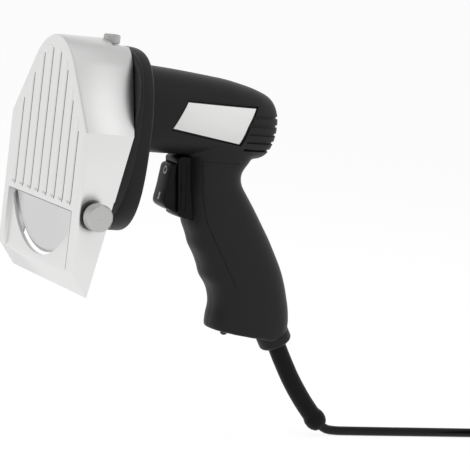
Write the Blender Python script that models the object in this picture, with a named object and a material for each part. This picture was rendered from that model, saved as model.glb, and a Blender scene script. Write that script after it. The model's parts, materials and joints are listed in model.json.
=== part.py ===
"""Electric kebab slicer: a hand-held motor tool with a round blade behind a fluted aluminium guard.

Lengths are in metres. The tool frame has its zero at the blade's centre in the plane of the guard's
front face: X runs back along the motor, Y to the user's right and Z up. The part's own origin is in
the middle of the grip, so every piece hangs from one empty that carries the tool frame there.
"""

import math

import bmesh
import bpy
from mathutils import Matrix, Vector

# The grip's middle in the tool frame, which is the part's origin
ORIGIN_X = 0.121
ORIGIN_Z = -0.045

# Clearances and cutter overruns
GAP = 0.0003
RUN_GAP = 0.0005
OVERRUN = 0.004

# Round blade
BLADE_RADIUS = 0.050
BLADE_FRONT_X = 0.0044
BLADE_THICKNESS = 0.0016
BLADE_BEVEL_WIDTH = 0.0045
BLADE_EDGE_THICKNESS = 0.0005
BLADE_BORE_RADIUS = 0.005

# Guard: outline, walls and rear edge
GUARD_MARGIN = 0.003
GUARD_HALF_WIDTH = BLADE_RADIUS + GUARD_MARGIN
CROWN_MARGIN = 0.0185
GUARD_CROWN_RADIUS = GUARD_HALF_WIDTH - CROWN_MARGIN
GUARD_CROWN_Z = 0.0361
GUARD_CREASE_Z = 0.0215
GUARD_SKIRT = 0.016
GUARD_BOTTOM_Z = -BLADE_RADIUS - GUARD_SKIRT
GUARD_WALL = 0.0018
GUARD_FRONT_WALL = 0.0024
GUARD_REAR_X = 0.0238
REAR_SLOPE_SHARE = 0.195
GUARD_EDGE_ROUND = 0.0018

# Guard: shelf for the top knob, toe, recess, mouth and flutes
SHELF_DROP = 0.0046
SHELF_Z = GUARD_CROWN_Z + GUARD_CROWN_RADIUS - SHELF_DROP
SHELF_FRONT_X = 0.0275
TOE_MARGIN = 0.002
TOE_TOP_Z = -BLADE_RADIUS - TOE_MARGIN
TOE_LIP_X = 0.0109
RECESS_MARGIN = 0.0075
RECESS_HALF_WIDTH = GUARD_HALF_WIDTH - RECESS_MARGIN
RECESS_TOP_SHARE = 0.419
RECESS_TOP_Z = -BLADE_RADIUS * RECESS_TOP_SHARE
RECESS_TOP_DEPTH = 0.0030
RECESS_TOE_DEPTH = 0.0020
RECESS_FLOOR = 0.0011
MOUTH_DROP = 0.00155
MOUTH_TOP_Z = RECESS_TOP_Z - MOUTH_DROP
MOUTH_RIM_GAP = 0.0013
FLUTE_PITCH = 0.0114
FLUTE_RADIUS = 0.0042
FLUTE_DEPTH = 0.0011
FLUTE_LIFT = 0.00355
FLUTE_LOWER_Z = RECESS_TOP_Z + FLUTE_LIFT
FLUTE_PAIRS = 4
FLUTE_INSET = 0.0075

# Knobs that clamp the guard, on threaded studs
STUD_RADIUS = 0.0020
SIDE_KNOB_X = 0.0102
SIDE_KNOB_SHARE = 0.44
SIDE_KNOB_Z = -BLADE_RADIUS * SIDE_KNOB_SHARE
SIDE_KNOB_RADIUS = 0.0074
SIDE_KNOB_HEIGHT = 0.0095
SIDE_SEAT_DEPTH = 0.0008
SIDE_STUD_REACH = 0.014
TOP_KNOB_X = 0.0323
TOP_KNOB_RADIUS = 0.0046
TOP_KNOB_HEIGHT = 0.0051
TOP_STUD_REACH = 0.0050
KNOB_BEVEL = 0.0008
KNURL_COUNT = 16
KNURL_DEPTH = 0.0003

# Gear housing: neck inside the guard and round flange behind it
NECK_GAP = 0.0004
NECK_ROOM = 0.0014
NECK_LOWER_RADIUS = GUARD_HALF_WIDTH - GUARD_WALL - NECK_ROOM
FLANGE_MARGIN = 0.0015
FLANGE_HALF_WIDTH = GUARD_HALF_WIDTH - FLANGE_MARGIN
FLANGE_HALF_HEIGHT = 0.0503
FLANGE_POWER_SHARE = 2.44
FLANGE_Z = 0.0151
FLANGE_GAP = 0.0005
FLANGE_REAR_X = 0.0452
FLANGE_REAR_SLOPE_SHARE = 0.022
FLANGE_SWEEP = 0.0073
FLANGE_SWEEP_POWER_SHARE = 1.6
FLANGE_ROUND = 0.0025
COVER_FRONT_X = 0.0115
COVER_THICKNESS = 0.0025
COVER_BOSS_RADIUS = 0.0135
EAR_HALF_HEIGHT = 0.006
EAR_DEPTH = 0.0070
EAR_REACH = 0.021
GEAR_ROOM_WALL = 0.0105
GEAR_ROOM_RADIUS = FLANGE_HALF_WIDTH - GEAR_ROOM_WALL
GEAR_ROOM_REAR_X = 0.0365

# Gears: module, face widths and axes
GEAR_MODULE = 0.001
PINION_TEETH = 10
IDLER_WHEEL_TEETH = 30
IDLER_PINION_TEETH = 14
BLADE_GEAR_TEETH = 36
TOOTH_TIP_SHARE = 0.80
TOOTH_ROOT_SHARE = 1.15
TOOTH_PITCH_WIDTH_SHARE = 0.40
TOOTH_TIP_WIDTH_SHARE = 0.20
TOOTH_ROOT_WIDTH_SHARE = 0.56
BLADE_GEAR_FACE = 0.007
WHEEL_FACE = 0.0055
PINION_EXTRA = 0.0005
GEAR_STAGE_GAP = 0.0010
MOTOR_Z = 0.0326
IDLER_AXLE_RADIUS = 0.0025

# Blade spindle, hub and bearings
SPINDLE_RADIUS = 0.004
SPINDLE_BEARING_RADIUS = 0.011
SPINDLE_BEARING_WIDTH = 0.005
BUSH_RADIUS = 0.006
BUSH_LENGTH = 0.0075
BUSH_BOSS_WALL = 0.0022
HUB_RADIUS = 0.014
HUB_THICKNESS = 0.0027
DRIVE_PIN_RADIUS = 0.0014
DRIVE_PIN_CIRCLE = 0.009
BLADE_SCREW_HEAD_RADIUS = 0.006
BLADE_SCREW_HEAD = 0.0013
BLADE_SCREW_RADIUS = 0.0025
BLADE_SCREW_LENGTH = 0.010
SEAL_RADIUS = 0.008

# Motor
SHAFT_RADIUS = 0.003
SHAFT_REAR_X = 0.126
FRONT_BEARING_RADIUS = 0.0095
FRONT_BEARING_WIDTH = 0.006
REAR_BEARING_RADIUS = 0.008
REAR_BEARING_WIDTH = 0.005
FAN_ROOM_FRONT_X = 0.052
FAN_ROOM_RADIUS = 0.0208
FAN_FRONT_X = 0.0535
FAN_WIDTH = 0.0065
FAN_RADIUS = 0.0175
FAN_BLADES = 9
STATOR_FRONT_X = 0.066
STATOR_LENGTH = 0.026
STATOR_RADIUS = 0.019
STATOR_RING = 0.0032
POLE_HALF_WIDTH = 0.0048
ARMATURE_RADIUS = 0.0112
ARMATURE_SLOTS = 11
AIR_GAP = 0.0005
WINDING_HEAD = 0.0042
WINDING_RADIUS = 0.0095
COMMUTATOR_RADIUS = 0.007
COMMUTATOR_LENGTH = 0.010
BRUSH_WIDTH = 0.006
BRUSH_HEIGHT = 0.005
BRUSH_LENGTH = 0.0065
HOLDER_WALL = 0.0010
HOLDER_REACH = 0.0175
REAR_WALL_X = 0.121

# Body shells
SHELL_WALL = 0.0025
SECTION_POWER_SHARE = 2.25
GRIP_POWER_SHARE = 2.5
GRIP_HALF_WIDTH = 0.0175
BARREL_HALF_WIDTH = 0.024
BARREL_TOP_Z = 0.0572
BARREL_BOTTOM_Z = 0.0086
BARREL_REAR_X = 0.135
GRIP_TOP_Z = 0.020
GRIP_BASE_Z = -0.089
GRIP_BASE_FRONT_X = 0.1106
GRIP_BASE_SLOPE_SHARE = -0.115
GRIP_BASE_ROUND = 0.0012
GRIP_FRONT_X = 0.0865
GRIP_SPAN = 0.0773
GRIP_ROOM_TOP_SHARE = 0.25
GRIP_ROOM_BASE_SHARE = 0.90
PASSAGE_FRONT_X = 0.099
PASSAGE_REAR_X = 0.113
PASSAGE_HALF_WIDTH = 0.010
RIB_COUNT = 5
RIB_PITCH = 0.0047
RIB_WIDTH = 0.0016
RIB_DEPTH = 0.0010
RIB_FRONT_X = 0.112
RIB_TOP_Z = 0.0340

# Bare label in its pocket
LABEL_THICKNESS = 0.0003
LABEL_POCKET_DEPTH = 0.0007
LABEL_MARGIN = 0.0012
LABEL_FRONT_X = 0.0719
LABEL_REAR_X = 0.1145
LABEL_TOP_Z = 0.0395
LABEL_BASE_Z = 0.0246
LABEL_SLANT = 0.0073
LABEL_RISE = 0.0060

# Switch
SWITCH_HALF_WIDTH = 0.0085
SWITCH_WALL = 0.0012
SWITCH_FRONT_X = 0.0764
SWITCH_REAR_X = 0.100
SWITCH_CHIN_X = 0.0806
SWITCH_CHIN_Z = -0.0250
SWITCH_THROAT_X = 0.0845
SWITCH_BASE_Z = -0.0268
ROCKER_PIVOT_X = 0.0807
ROCKER_PIVOT_Z = -0.0096
ROCKER_REACH = 0.0139
ROCKER_PIN_RADIUS = 0.0012
TERMINAL_WIDTH = 0.0063
TERMINAL_THICKNESS = 0.0008
TERMINAL_LENGTH = 0.011
TERMINAL_SEAT = 0.003
TERMINAL_Y = 0.005
LEAD_RADIUS = 0.0011

# Screws, collar, sleeve and base stud
SCREW_RADIUS = 0.0015
SCREW_HEAD_RADIUS = 0.0028
SCREW_HEAD = 0.0018
COVER_SCREW_MARGIN = 0.006
COVER_SCREW_CIRCLE = FLANGE_HALF_WIDTH - COVER_SCREW_MARGIN
COVER_SCREW_LENGTH = 0.0125
SHELL_SCREW_LENGTH = 0.015
HOUSING_SCREW_Y = 0.015
HOUSING_SCREW_RISE = 0.0114
HOUSING_SCREW_LENGTH = 0.0135
COLLAR_X = 0.1523
COLLAR_Z = -0.0896
COLLAR_RADIUS = 0.0097
COLLAR_LENGTH = 0.0086
COLLAR_NECK_RADIUS = 0.0078
COLLAR_NECK = 0.0055
SLEEVE_RADIUS = 0.00535
SLEEVE_TILT_DEGREES = 59
STUD_FOOT_RADIUS = 0.002
STUD_FOOT_X = 0.122
STUD_FOOT_DROP = 0.0027
STUD_FOOT_REACH = 0.0045

# Cord, coil and plug
CORD_RADIUS = 0.0027
CORD_LENGTH = 1.8
COIL_CENTRE_X = 0.336
COIL_INNER_RADIUS = 0.0255
COIL_PITCH = 0.0059
COIL_LAYERS = 4
COIL_LAYER_TURNS = 2
COIL_LOOP_POINTS = 24
FLOOR_Z = -0.1507
PLUG_LENGTH = 0.034
PLUG_WIDTH = 0.0355
PLUG_HEIGHT = 0.0137
PLUG_NECK_RADIUS = 0.0042
PLUG_NECK_LENGTH = 0.016
PLUG_PIN_RADIUS = 0.002
PLUG_PIN_LENGTH = 0.019
PLUG_PIN_SPACING = 0.019

# Counts of sides on round pieces
ROUND_SIDES = 24
SMALL_SIDES = 10
SHARP_ANGLE = math.radians(35)

# Places that several pieces share
BLADE_REAR_X = BLADE_FRONT_X + BLADE_THICKNESS
HUB_FRONT_X = BLADE_REAR_X + GAP
HUB_REAR_X = HUB_FRONT_X + HUB_THICKNESS
COVER_REAR_X = COVER_FRONT_X + COVER_THICKNESS
HOUSING_FRONT_X = COVER_REAR_X + GAP
BEARING_FRONT_X = COVER_FRONT_X + GUARD_WALL
BEARING_REAR_X = BEARING_FRONT_X + SPINDLE_BEARING_WIDTH
COVER_BOSS_REAR_X = BEARING_REAR_X + GAP
BLADE_GEAR_FRONT_X = COVER_BOSS_REAR_X + RUN_GAP
BLADE_GEAR_REAR_X = BLADE_GEAR_FRONT_X + BLADE_GEAR_FACE
WHEEL_FRONT_X = BLADE_GEAR_REAR_X + GEAR_STAGE_GAP + PINION_EXTRA
WHEEL_REAR_X = WHEEL_FRONT_X + WHEEL_FACE
BUSH_FRONT_X = GEAR_ROOM_REAR_X - BUSH_LENGTH
SPINDLE_REAR_X = GEAR_ROOM_REAR_X - GAP
ROOF_Z = SHELF_Z - GUARD_WALL
NECK_TOP_Z = ROOF_Z - NECK_GAP
STATOR_REAR_X = STATOR_FRONT_X + STATOR_LENGTH
COIL_OUTER_RADIUS = COIL_INNER_RADIUS + COIL_LAYER_TURNS * COIL_PITCH
CORD_Z = FLOOR_Z + CORD_RADIUS


def rear_edge_x(z):
    """The slanted rear edge of the guard."""
    return GUARD_REAR_X + REAR_SLOPE_SHARE * z


def flange_front_x(z):
    """The housing flange's front face, parallel to the guard's rear edge."""
    return rear_edge_x(z) + FLANGE_GAP


def flange_rear_x(y, z):
    """The flange's rear face, swept forward at its sides, which the shells' front ends follow."""
    sweep = (abs(y) / FLANGE_HALF_WIDTH) ** FLANGE_SWEEP_POWER_SHARE
    return FLANGE_REAR_X + FLANGE_REAR_SLOPE_SHARE * z - FLANGE_SWEEP * sweep


def grip_base_z(x):
    """The slanted underside of the grip."""
    return GRIP_BASE_Z + GRIP_BASE_SLOPE_SHARE * (x - GRIP_BASE_FRONT_X)


def clear_scene():
    """Remove every object, so that the part starts from nothing."""
    for thing in list(bpy.data.objects):
        bpy.data.objects.remove(thing, do_unlink=True)


def make_datum():
    """The empty that carries the tool frame."""
    datum = bpy.data.objects.new("tool_datum", None)
    datum.location = (-ORIGIN_X, 0, -ORIGIN_Z)
    bpy.context.scene.collection.objects.link(datum)
    return datum


def make_material(name, colour, roughness, metallic):
    """A Principled material of one colour."""
    made = bpy.data.materials.new(name)
    made.use_nodes = True
    shader = made.node_tree.nodes["Principled BSDF"]
    shader.inputs["Base Color"].default_value = (*colour, 1)
    shader.inputs["Roughness"].default_value = roughness
    shader.inputs["Metallic"].default_value = metallic
    return made


def make_materials():
    """The finishes that the pieces share."""
    return {
        "cast_aluminium": make_material("cast_aluminium", (0.62, 0.62, 0.61), 0.38, 1.0),
        "blade_steel": make_material("blade_steel", (0.55, 0.55, 0.55), 0.22, 1.0),
        "steel": make_material("steel", (0.48, 0.48, 0.47), 0.35, 1.0),
        "zinc_steel": make_material("zinc_steel", (0.60, 0.60, 0.58), 0.30, 1.0),
        "bearing_bronze": make_material("bearing_bronze", (0.55, 0.36, 0.18), 0.40, 1.0),
        "copper_wire": make_material("copper_wire", (0.72, 0.33, 0.15), 0.40, 1.0),
        "brass": make_material("brass", (0.78, 0.60, 0.28), 0.30, 1.0),
        "carbon": make_material("carbon", (0.05, 0.05, 0.05), 0.60, 0.0),
        "lamination": make_material("lamination", (0.30, 0.30, 0.31), 0.50, 1.0),
        "black_plastic": make_material("black_plastic", (0.018, 0.018, 0.019), 0.48, 0.0),
        "switch_plastic": make_material("switch_plastic", (0.012, 0.012, 0.013), 0.35, 0.0),
        "gear_nylon": make_material("gear_nylon", (0.75, 0.73, 0.68), 0.45, 0.0),
        "fan_nylon": make_material("fan_nylon", (0.20, 0.22, 0.25), 0.50, 0.0),
        "felt": make_material("felt", (0.35, 0.33, 0.30), 0.95, 0.0),
        "label_white": make_material("label_white", (0.86, 0.86, 0.85), 0.40, 0.0),
        "rubber": make_material("rubber", (0.02, 0.02, 0.02), 0.70, 0.0),
        "red_wire": make_material("red_wire", (0.55, 0.04, 0.03), 0.50, 0.0),
        "blue_wire": make_material("blue_wire", (0.04, 0.10, 0.45), 0.50, 0.0),
    }


def add_object(name, shape, finish, place=(0, 0, 0)):
    """Turn a bmesh drawn in the tool frame into an object whose origin is at place."""
    bmesh.ops.translate(shape, verts=shape.verts, vec=-Vector(place))
    bmesh.ops.recalc_face_normals(shape, faces=shape.faces)
    mesh = bpy.data.meshes.new(name)
    shape.to_mesh(mesh)
    shape.free()
    mesh.shade_smooth()
    mesh.set_sharp_from_angle(angle=SHARP_ANGLE)
    made = bpy.data.objects.new(name, mesh)
    made.location = place
    made.parent = DATUM
    bpy.context.scene.collection.objects.link(made)
    if finish:
        mesh.materials.append(FINISHES[finish])
    return made


def add_cutter(name, shape):
    """A hidden shape that another object's Boolean uses."""
    made = add_object(name, shape, None)
    made.hide_render = True
    made.display_type = "WIRE"
    return made


def combine(target, other, operation="DIFFERENCE"):
    """Add an exact Boolean with another object to the target."""
    step = target.modifiers.new(other.name, "BOOLEAN")
    step.operation = operation
    step.solver = "EXACT"
    step.object = other
    return target


def loft(rings):
    """A solid through rings of equal point counts, closed by a face at each end."""
    shape = bmesh.new()
    rows = [[shape.verts.new(point) for point in ring] for ring in rings]
    for row, after in zip(rows, rows[1:]):
        for i in range(len(row)):
            j = (i + 1) % len(row)
            shape.faces.new((row[i], row[j], after[j], after[i]))
    shape.faces.new(rows[0])
    shape.faces.new(rows[-1])
    return shape


def split_faces(shape):
    """Split a curved loft's sides, which are not flat, into triangles."""
    sides = [f for f in shape.faces if len(f.verts) == 4]
    bmesh.ops.triangulate(shape, faces=sides)
    return shape


def slab(outline, front, rear):
    """A solid between two X planes or functions of Z, with an outline of (y, z) points."""
    front_x = front if callable(front) else lambda z: front
    rear_x = rear if callable(rear) else lambda z: rear
    near = [(front_x(z), y, z) for y, z in outline]
    far = [(rear_x(z), y, z) for y, z in outline]
    return loft([near, far])


def side_slab(outline, low_y, high_y):
    """A solid between two Y planes, with an outline of (x, z) points."""
    return loft([[(x, y, z) for x, z in outline] for y in (low_y, high_y)])


def block(low, high):
    """A box from its lowest corner to its highest."""
    middle = (Vector(low) + Vector(high)) / 2
    size = Vector(high) - Vector(low)
    shape = bmesh.new()
    bmesh.ops.create_cube(shape, size=1, matrix=Matrix.Translation(middle) @ Matrix.Diagonal((*size, 1)))
    return shape


def turned(profile, sides=ROUND_SIDES, centre=(0, 0, 0), axis="X"):
    """Spin a closed profile of (distance along the axis, radius) points round an axis through centre."""
    shape = bmesh.new()
    points = [shape.verts.new((along, radius, 0)) for along, radius in profile]
    edges = [shape.edges.new((points[i - 1], points[i])) for i in range(len(points))]
    bmesh.ops.spin(
        shape, geom=points + edges, cent=(0, 0, 0), axis=(1, 0, 0), dvec=(0, 0, 0),
        angle=math.tau, steps=sides, use_merge=True, use_duplicate=False,
    )
    on_axis = [v for v in shape.verts if math.hypot(v.co.y, v.co.z) < GAP / sides]
    bmesh.ops.remove_doubles(shape, verts=on_axis, dist=GAP / sides)
    loose = [e for e in shape.edges if not e.link_faces]
    bmesh.ops.delete(shape, geom=loose, context="EDGES")
    caps = [v for v in shape.verts if math.hypot(v.co.y, v.co.z) < GAP / sides]
    bmesh.ops.dissolve_verts(shape, verts=caps)
    turn = {
        "X": Matrix.Identity(4),
        "Y": Matrix.Rotation(math.radians(90), 4, "Z"),
        "Z": Matrix.Rotation(math.radians(-90), 4, "Y"),
    }[axis]
    bmesh.ops.transform(shape, matrix=Matrix.Translation(centre) @ turn, verts=shape.verts)
    return shape


def rod(start, end, radius, sides=SMALL_SIDES, centre=(0, 0, 0), axis="X"):
    """A plain round bar between two distances along an axis."""
    return turned([(start, 0), (start, radius), (end, radius), (end, 0)], sides, centre, axis)


def tube(start, end, inner, outer, sides=ROUND_SIDES, centre=(0, 0, 0), axis="X"):
    """A plain round tube between two distances along an axis."""
    profile = [(start, inner), (start, outer), (end, outer), (end, inner)]
    return turned(profile, sides, centre, axis)


def merge(shapes):
    """Several bmeshes in one, kept as they are."""
    whole = bmesh.new()
    for shape in shapes:
        copy = bpy.data.meshes.new("merge")
        shape.to_mesh(copy)
        shape.free()
        whole.from_mesh(copy)
        bpy.data.meshes.remove(copy)
    return whole


def arc(centre, radius, start, end, steps):
    """Points on an arc in a plane, both ends included, with angles in radians."""
    angles = [start + (end - start) * i / steps for i in range(steps + 1)]
    return [(centre[0] + radius * math.cos(a), centre[1] + radius * math.sin(a)) for a in angles]


def smooth_route(points, spacing):
    """Points at even steps on a smooth curve through a route's own points."""
    route = [Vector(point) for point in points]
    ends = [2 * route[0] - route[1], *route, 2 * route[-1] - route[-2]]
    fine = []
    for before, start, end, after in zip(ends, ends[1:], ends[2:], ends[3:]):
        pieces = max(2, round((end - start).length / spacing))
        for i in range(pieces):
            t = i / pieces
            bend = 2 * before - 5 * start + 4 * end - after
            twist = 3 * (start - end) + after - before
            fine.append(start + ((end - before) * t + bend * t ** 2 + twist * t ** 3) / 2)
    return [*fine, route[-1]]


def add_cord(name, points, radius, finish, resolution=2):
    """A round cord along given points, with filled ends."""
    curve = bpy.data.curves.new(name, "CURVE")
    curve.dimensions = "3D"
    curve.bevel_depth = radius
    curve.bevel_resolution = resolution
    curve.use_fill_caps = True
    spline = curve.splines.new("POLY")
    spline.points.add(len(points) - 1)
    for knot, place in zip(spline.points, points):
        knot.co = (*place, 1)
    curve.materials.append(FINISHES[finish])
    made = bpy.data.objects.new(name, curve)
    made.parent = DATUM
    bpy.context.scene.collection.objects.link(made)
    return made


def crown_slant():
    """The angle, seen from the crown's centre, at which the guard's slanted sides touch the crown's arc."""
    across = GUARD_HALF_WIDTH
    down = GUARD_CREASE_Z - GUARD_CROWN_Z
    return math.atan2(down, across) + math.acos(GUARD_CROWN_RADIUS / math.hypot(across, down))


def guard_outline(inset=0, bottom=GUARD_BOTTOM_Z, roof=None, steps=12):
    """The guard's outline in (y, z), drawn in by inset, with an optional flat roof."""
    slant = crown_slant()
    half = GUARD_HALF_WIDTH - inset
    radius = GUARD_CROWN_RADIUS - inset
    crease = GUARD_CROWN_Z + (radius - half * math.cos(slant)) / math.sin(slant)
    if roof is None:
        top = arc((0, GUARD_CROWN_Z), radius, slant, math.pi - slant, steps)
    else:
        edge = math.asin((roof - GUARD_CROWN_Z) / radius)
        right = arc((0, GUARD_CROWN_Z), radius, slant, edge, steps // 4)
        top = right + [(-y, z) for y, z in reversed(right)]
    return [(-half, bottom), (half, bottom), (half, crease), *top, (-half, crease)]


def recess_x(z):
    """The recess floor's front face, a little shallower toward the toe."""
    share = (RECESS_TOP_Z - z) / (RECESS_TOP_Z - TOE_TOP_Z)
    return RECESS_TOP_DEPTH + (RECESS_TOE_DEPTH - RECESS_TOP_DEPTH) * share


def toe_x(z):
    """The slanted front of the guard's toe."""
    return TOE_LIP_X * (TOE_TOP_Z - z) / (TOE_TOP_Z - GUARD_BOTTOM_Z)


def cut_guard_hollow(guard):
    """Hollow the guard out from behind, keeping the recess floor and the toe."""
    low = GUARD_BOTTOM_Z - OVERRUN
    floor_x = RECESS_TOP_DEPTH + RECESS_FLOOR
    outline = guard_outline(GUARD_WALL, low, ROOF_Z)
    hollow = add_cutter("guard_hollow", slab(outline, GUARD_FRONT_WALL, lambda z: rear_edge_x(z) + OVERRUN))
    pan_half = RECESS_HALF_WIDTH + RECESS_FLOOR
    pan = block((0, -pan_half, low), (floor_x, pan_half, RECESS_TOP_Z + RECESS_FLOOR))
    combine(hollow, add_cutter("recess_pan", pan))
    toe_start = TOE_TOP_Z - (floor_x - GUARD_FRONT_WALL) * (TOE_TOP_Z - GUARD_BOTTOM_Z) / TOE_LIP_X
    toe = [(0, toe_start), (floor_x, toe_start), (toe_x(low) + GUARD_FRONT_WALL, low), (0, low)]
    combine(hollow, add_cutter("toe_fill", side_slab(toe, -GUARD_HALF_WIDTH, GUARD_HALF_WIDTH)))
    combine(guard, hollow)


def cut_guard_front(guard):
    """Cut the toe's slant, the recess and the mouth that shows the blade."""
    low = GUARD_BOTTOM_Z - OVERRUN
    wide = GUARD_HALF_WIDTH + OVERRUN
    toe = [(toe_x(TOE_TOP_Z + OVERRUN), TOE_TOP_Z + OVERRUN), (toe_x(low), low), (-wide, low)]
    combine(guard, add_cutter("toe_slant", side_slab(toe, -wide, wide)))
    front = -OVERRUN
    top = RECESS_TOP_Z
    recess = [(front, top), (recess_x(top), top), (recess_x(low), low), (front, low)]
    combine(guard, add_cutter("recess", side_slab(recess, -RECESS_HALF_WIDTH, RECESS_HALF_WIDTH)))
    radius = BLADE_RADIUS + MOUTH_RIM_GAP
    half = RECESS_HALF_WIDTH - GAP
    corner = math.acos(half / radius)
    rim = arc((0, 0), radius, -corner, corner - math.pi, ROUND_SIDES)
    mouth = [(-half, MOUTH_TOP_Z), (half, MOUTH_TOP_Z), *rim]
    combine(guard, add_cutter("mouth", slab(mouth, front, GUARD_FRONT_WALL + BLADE_FRONT_X)))


def cut_flutes(guard):
    """Cut the shallow upright flutes in the guard's front face."""
    slant = crown_slant()
    shapes = []
    for i in range(FLUTE_PAIRS):
        y = (i + 0.5) * FLUTE_PITCH
        radius = GUARD_CROWN_RADIUS - FLUTE_INSET
        straight = y > radius * math.cos(slant)
        on_side = (radius - y * math.cos(slant)) / math.sin(slant)
        rise = on_side if straight else math.sqrt(radius ** 2 - y ** 2)
        top = GUARD_CROWN_Z + rise
        for side in (-1, 1):
            centre = (FLUTE_DEPTH - FLUTE_RADIUS, side * y, 0)
            shapes.append(rod(FLUTE_LOWER_Z, top, FLUTE_RADIUS, SMALL_SIDES, centre, "Z"))
    combine(guard, add_cutter("flutes", merge(shapes)))


def knob_slot(radius, x, rear):
    """The outline in (x, other) of a slot with a round front end that runs out at the rear edge."""
    return [*arc((x, 0), radius, math.pi / 2, math.pi * 1.5, SMALL_SIDES), (rear, -radius), (rear, radius)]


def cut_knob_slots(guard):
    """Cut the two open-ended slots that the clamping studs run in, and the side knob's seat."""
    rear = GUARD_REAR_X + OVERRUN
    slot = STUD_RADIUS + GAP
    outer_y = -GUARD_HALF_WIDTH - OVERRUN
    side = [(x, SIDE_KNOB_Z + z) for x, z in knob_slot(slot, SIDE_KNOB_X, rear)]
    combine(guard, add_cutter("side_slot", side_slab(side, outer_y, OVERRUN - GUARD_HALF_WIDTH)))
    seat_radius = SIDE_KNOB_RADIUS + GAP
    seat = [(x, SIDE_KNOB_Z + z) for x, z in knob_slot(seat_radius, SIDE_KNOB_X, rear)]
    combine(guard, add_cutter("side_seat", side_slab(seat, outer_y, SIDE_SEAT_DEPTH - GUARD_HALF_WIDTH)))
    shelf_low = (SHELF_FRONT_X, -GUARD_HALF_WIDTH, SHELF_Z)
    shelf_high = (rear + GUARD_REAR_X, GUARD_HALF_WIDTH, SHELF_Z * 2)
    combine(guard, add_cutter("shelf", block(shelf_low, shelf_high)))
    top = knob_slot(slot, TOP_KNOB_X, rear + GUARD_REAR_X)
    slot_shape = loft([[(x, y, z) for x, y in top] for z in (ROOF_Z - OVERRUN, SHELF_Z + OVERRUN)])
    combine(guard, add_cutter("top_slot", slot_shape))


def add_guard():
    """The sliding cast guard: its front plane sets how thick each slice is."""
    rounded = GUARD_EDGE_ROUND
    shares = ((0.0, 1.0), (0.3, 0.3), (1.0, 0.0))
    rings = []
    for depth_share, inset_share in shares:
        outline = guard_outline(rounded * inset_share)
        rings.append([(rounded * depth_share, y, z) for y, z in outline])
    rings.append([(rear_edge_x(z), y, z) for y, z in guard_outline()])
    guard = add_object("blade_guard", loft(rings), "cast_aluminium")
    cut_guard_hollow(guard)
    cut_guard_front(guard)
    cut_flutes(guard)
    cut_knob_slots(guard)


def add_side_knob():
    """The round knob on the guard's left wall, and its stud in the gear cover's ear."""
    seat_y = SIDE_SEAT_DEPTH - GUARD_HALF_WIDTH - GAP
    face_y = seat_y - SIDE_KNOB_HEIGHT
    reach = face_y + SIDE_KNOB_HEIGHT / 2
    place = (SIDE_KNOB_X, seat_y, SIDE_KNOB_Z)
    hole = STUD_RADIUS + GAP
    centre = (SIDE_KNOB_X, 0, SIDE_KNOB_Z)
    profile = [
        (face_y, 0),
        (face_y, SIDE_KNOB_RADIUS - KNOB_BEVEL),
        (face_y + KNOB_BEVEL, SIDE_KNOB_RADIUS),
        (seat_y, SIDE_KNOB_RADIUS),
        (seat_y, hole),
        (reach, hole),
        (reach, 0),
    ]
    add_object("side_knob", turned(profile, ROUND_SIDES, centre, "Y"), "steel", place)
    stud_end = SIDE_STUD_REACH - GUARD_HALF_WIDTH
    stud = rod(reach + GAP, stud_end, STUD_RADIUS, SMALL_SIDES, centre, "Y")
    add_object("side_knob_stud", stud, "zinc_steel", place)


def knurled(start, end, radius, sides):
    """A round head with straight knurling."""
    ring = []
    for i in range(2 * sides):
        angle = math.pi * i / sides
        r = radius - KNURL_DEPTH * (i % 2)
        ring.append((r * math.cos(angle), r * math.sin(angle)))
    low = start + KNOB_BEVEL
    share = 1 - KNOB_BEVEL / radius
    rings = [[(x, y, low) for x, y in ring], [(x, y, end - KNOB_BEVEL) for x, y in ring]]
    rings.insert(0, [(x * share, y * share, start) for x, y in ring])
    rings.append([(x * share, y * share, end) for x, y in ring])
    return loft(rings)


def add_top_knob():
    """The small knurled knob on the shelf, and its stud in the housing's neck."""
    seat = SHELF_Z + GAP
    top = seat + TOP_KNOB_HEIGHT
    place = (TOP_KNOB_X, 0, seat)
    shape = knurled(seat, top, TOP_KNOB_RADIUS, KNURL_COUNT)
    bmesh.ops.translate(shape, verts=shape.verts, vec=(TOP_KNOB_X, 0, 0))
    knob = add_object("top_knob", shape, "steel", place)
    bore_top = seat + TOP_KNOB_HEIGHT / 2
    bore = rod(seat - OVERRUN, bore_top, STUD_RADIUS + GAP, SMALL_SIDES, (TOP_KNOB_X, 0, 0), "Z")
    combine(knob, add_cutter("top_knob_bore", bore))
    stud_foot = NECK_TOP_Z - TOP_STUD_REACH + GAP
    stud = rod(stud_foot, bore_top - GAP, STUD_RADIUS, SMALL_SIDES, (TOP_KNOB_X, 0, 0), "Z")
    add_object("top_knob_stud", stud, "zinc_steel", place)


def pin_places():
    """The two drive pins' centres in (y, z)."""
    return ((0, DRIVE_PIN_CIRCLE), (0, -DRIVE_PIN_CIRCLE))


def add_blade():
    """The smooth-rimmed round blade, ground from the front, with holes for the drive pins."""
    edge = BLADE_REAR_X - BLADE_EDGE_THICKNESS
    shoulder = BLADE_RADIUS - BLADE_BEVEL_WIDTH
    bore = BLADE_BORE_RADIUS
    profile = [
        (BLADE_FRONT_X, bore),
        (BLADE_FRONT_X, shoulder),
        (edge, BLADE_RADIUS),
        (BLADE_REAR_X, BLADE_RADIUS),
        (BLADE_REAR_X, bore),
    ]
    blade = add_object("round_blade", turned(profile, ROUND_SIDES * 3), "blade_steel")
    holes = [
        rod(-BLADE_REAR_X, BLADE_REAR_X * 2, DRIVE_PIN_RADIUS + GAP, SMALL_SIDES, (0, y, z))
        for y, z in pin_places()
    ]
    combine(blade, add_cutter("drive_holes", merge(holes)))


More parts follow.
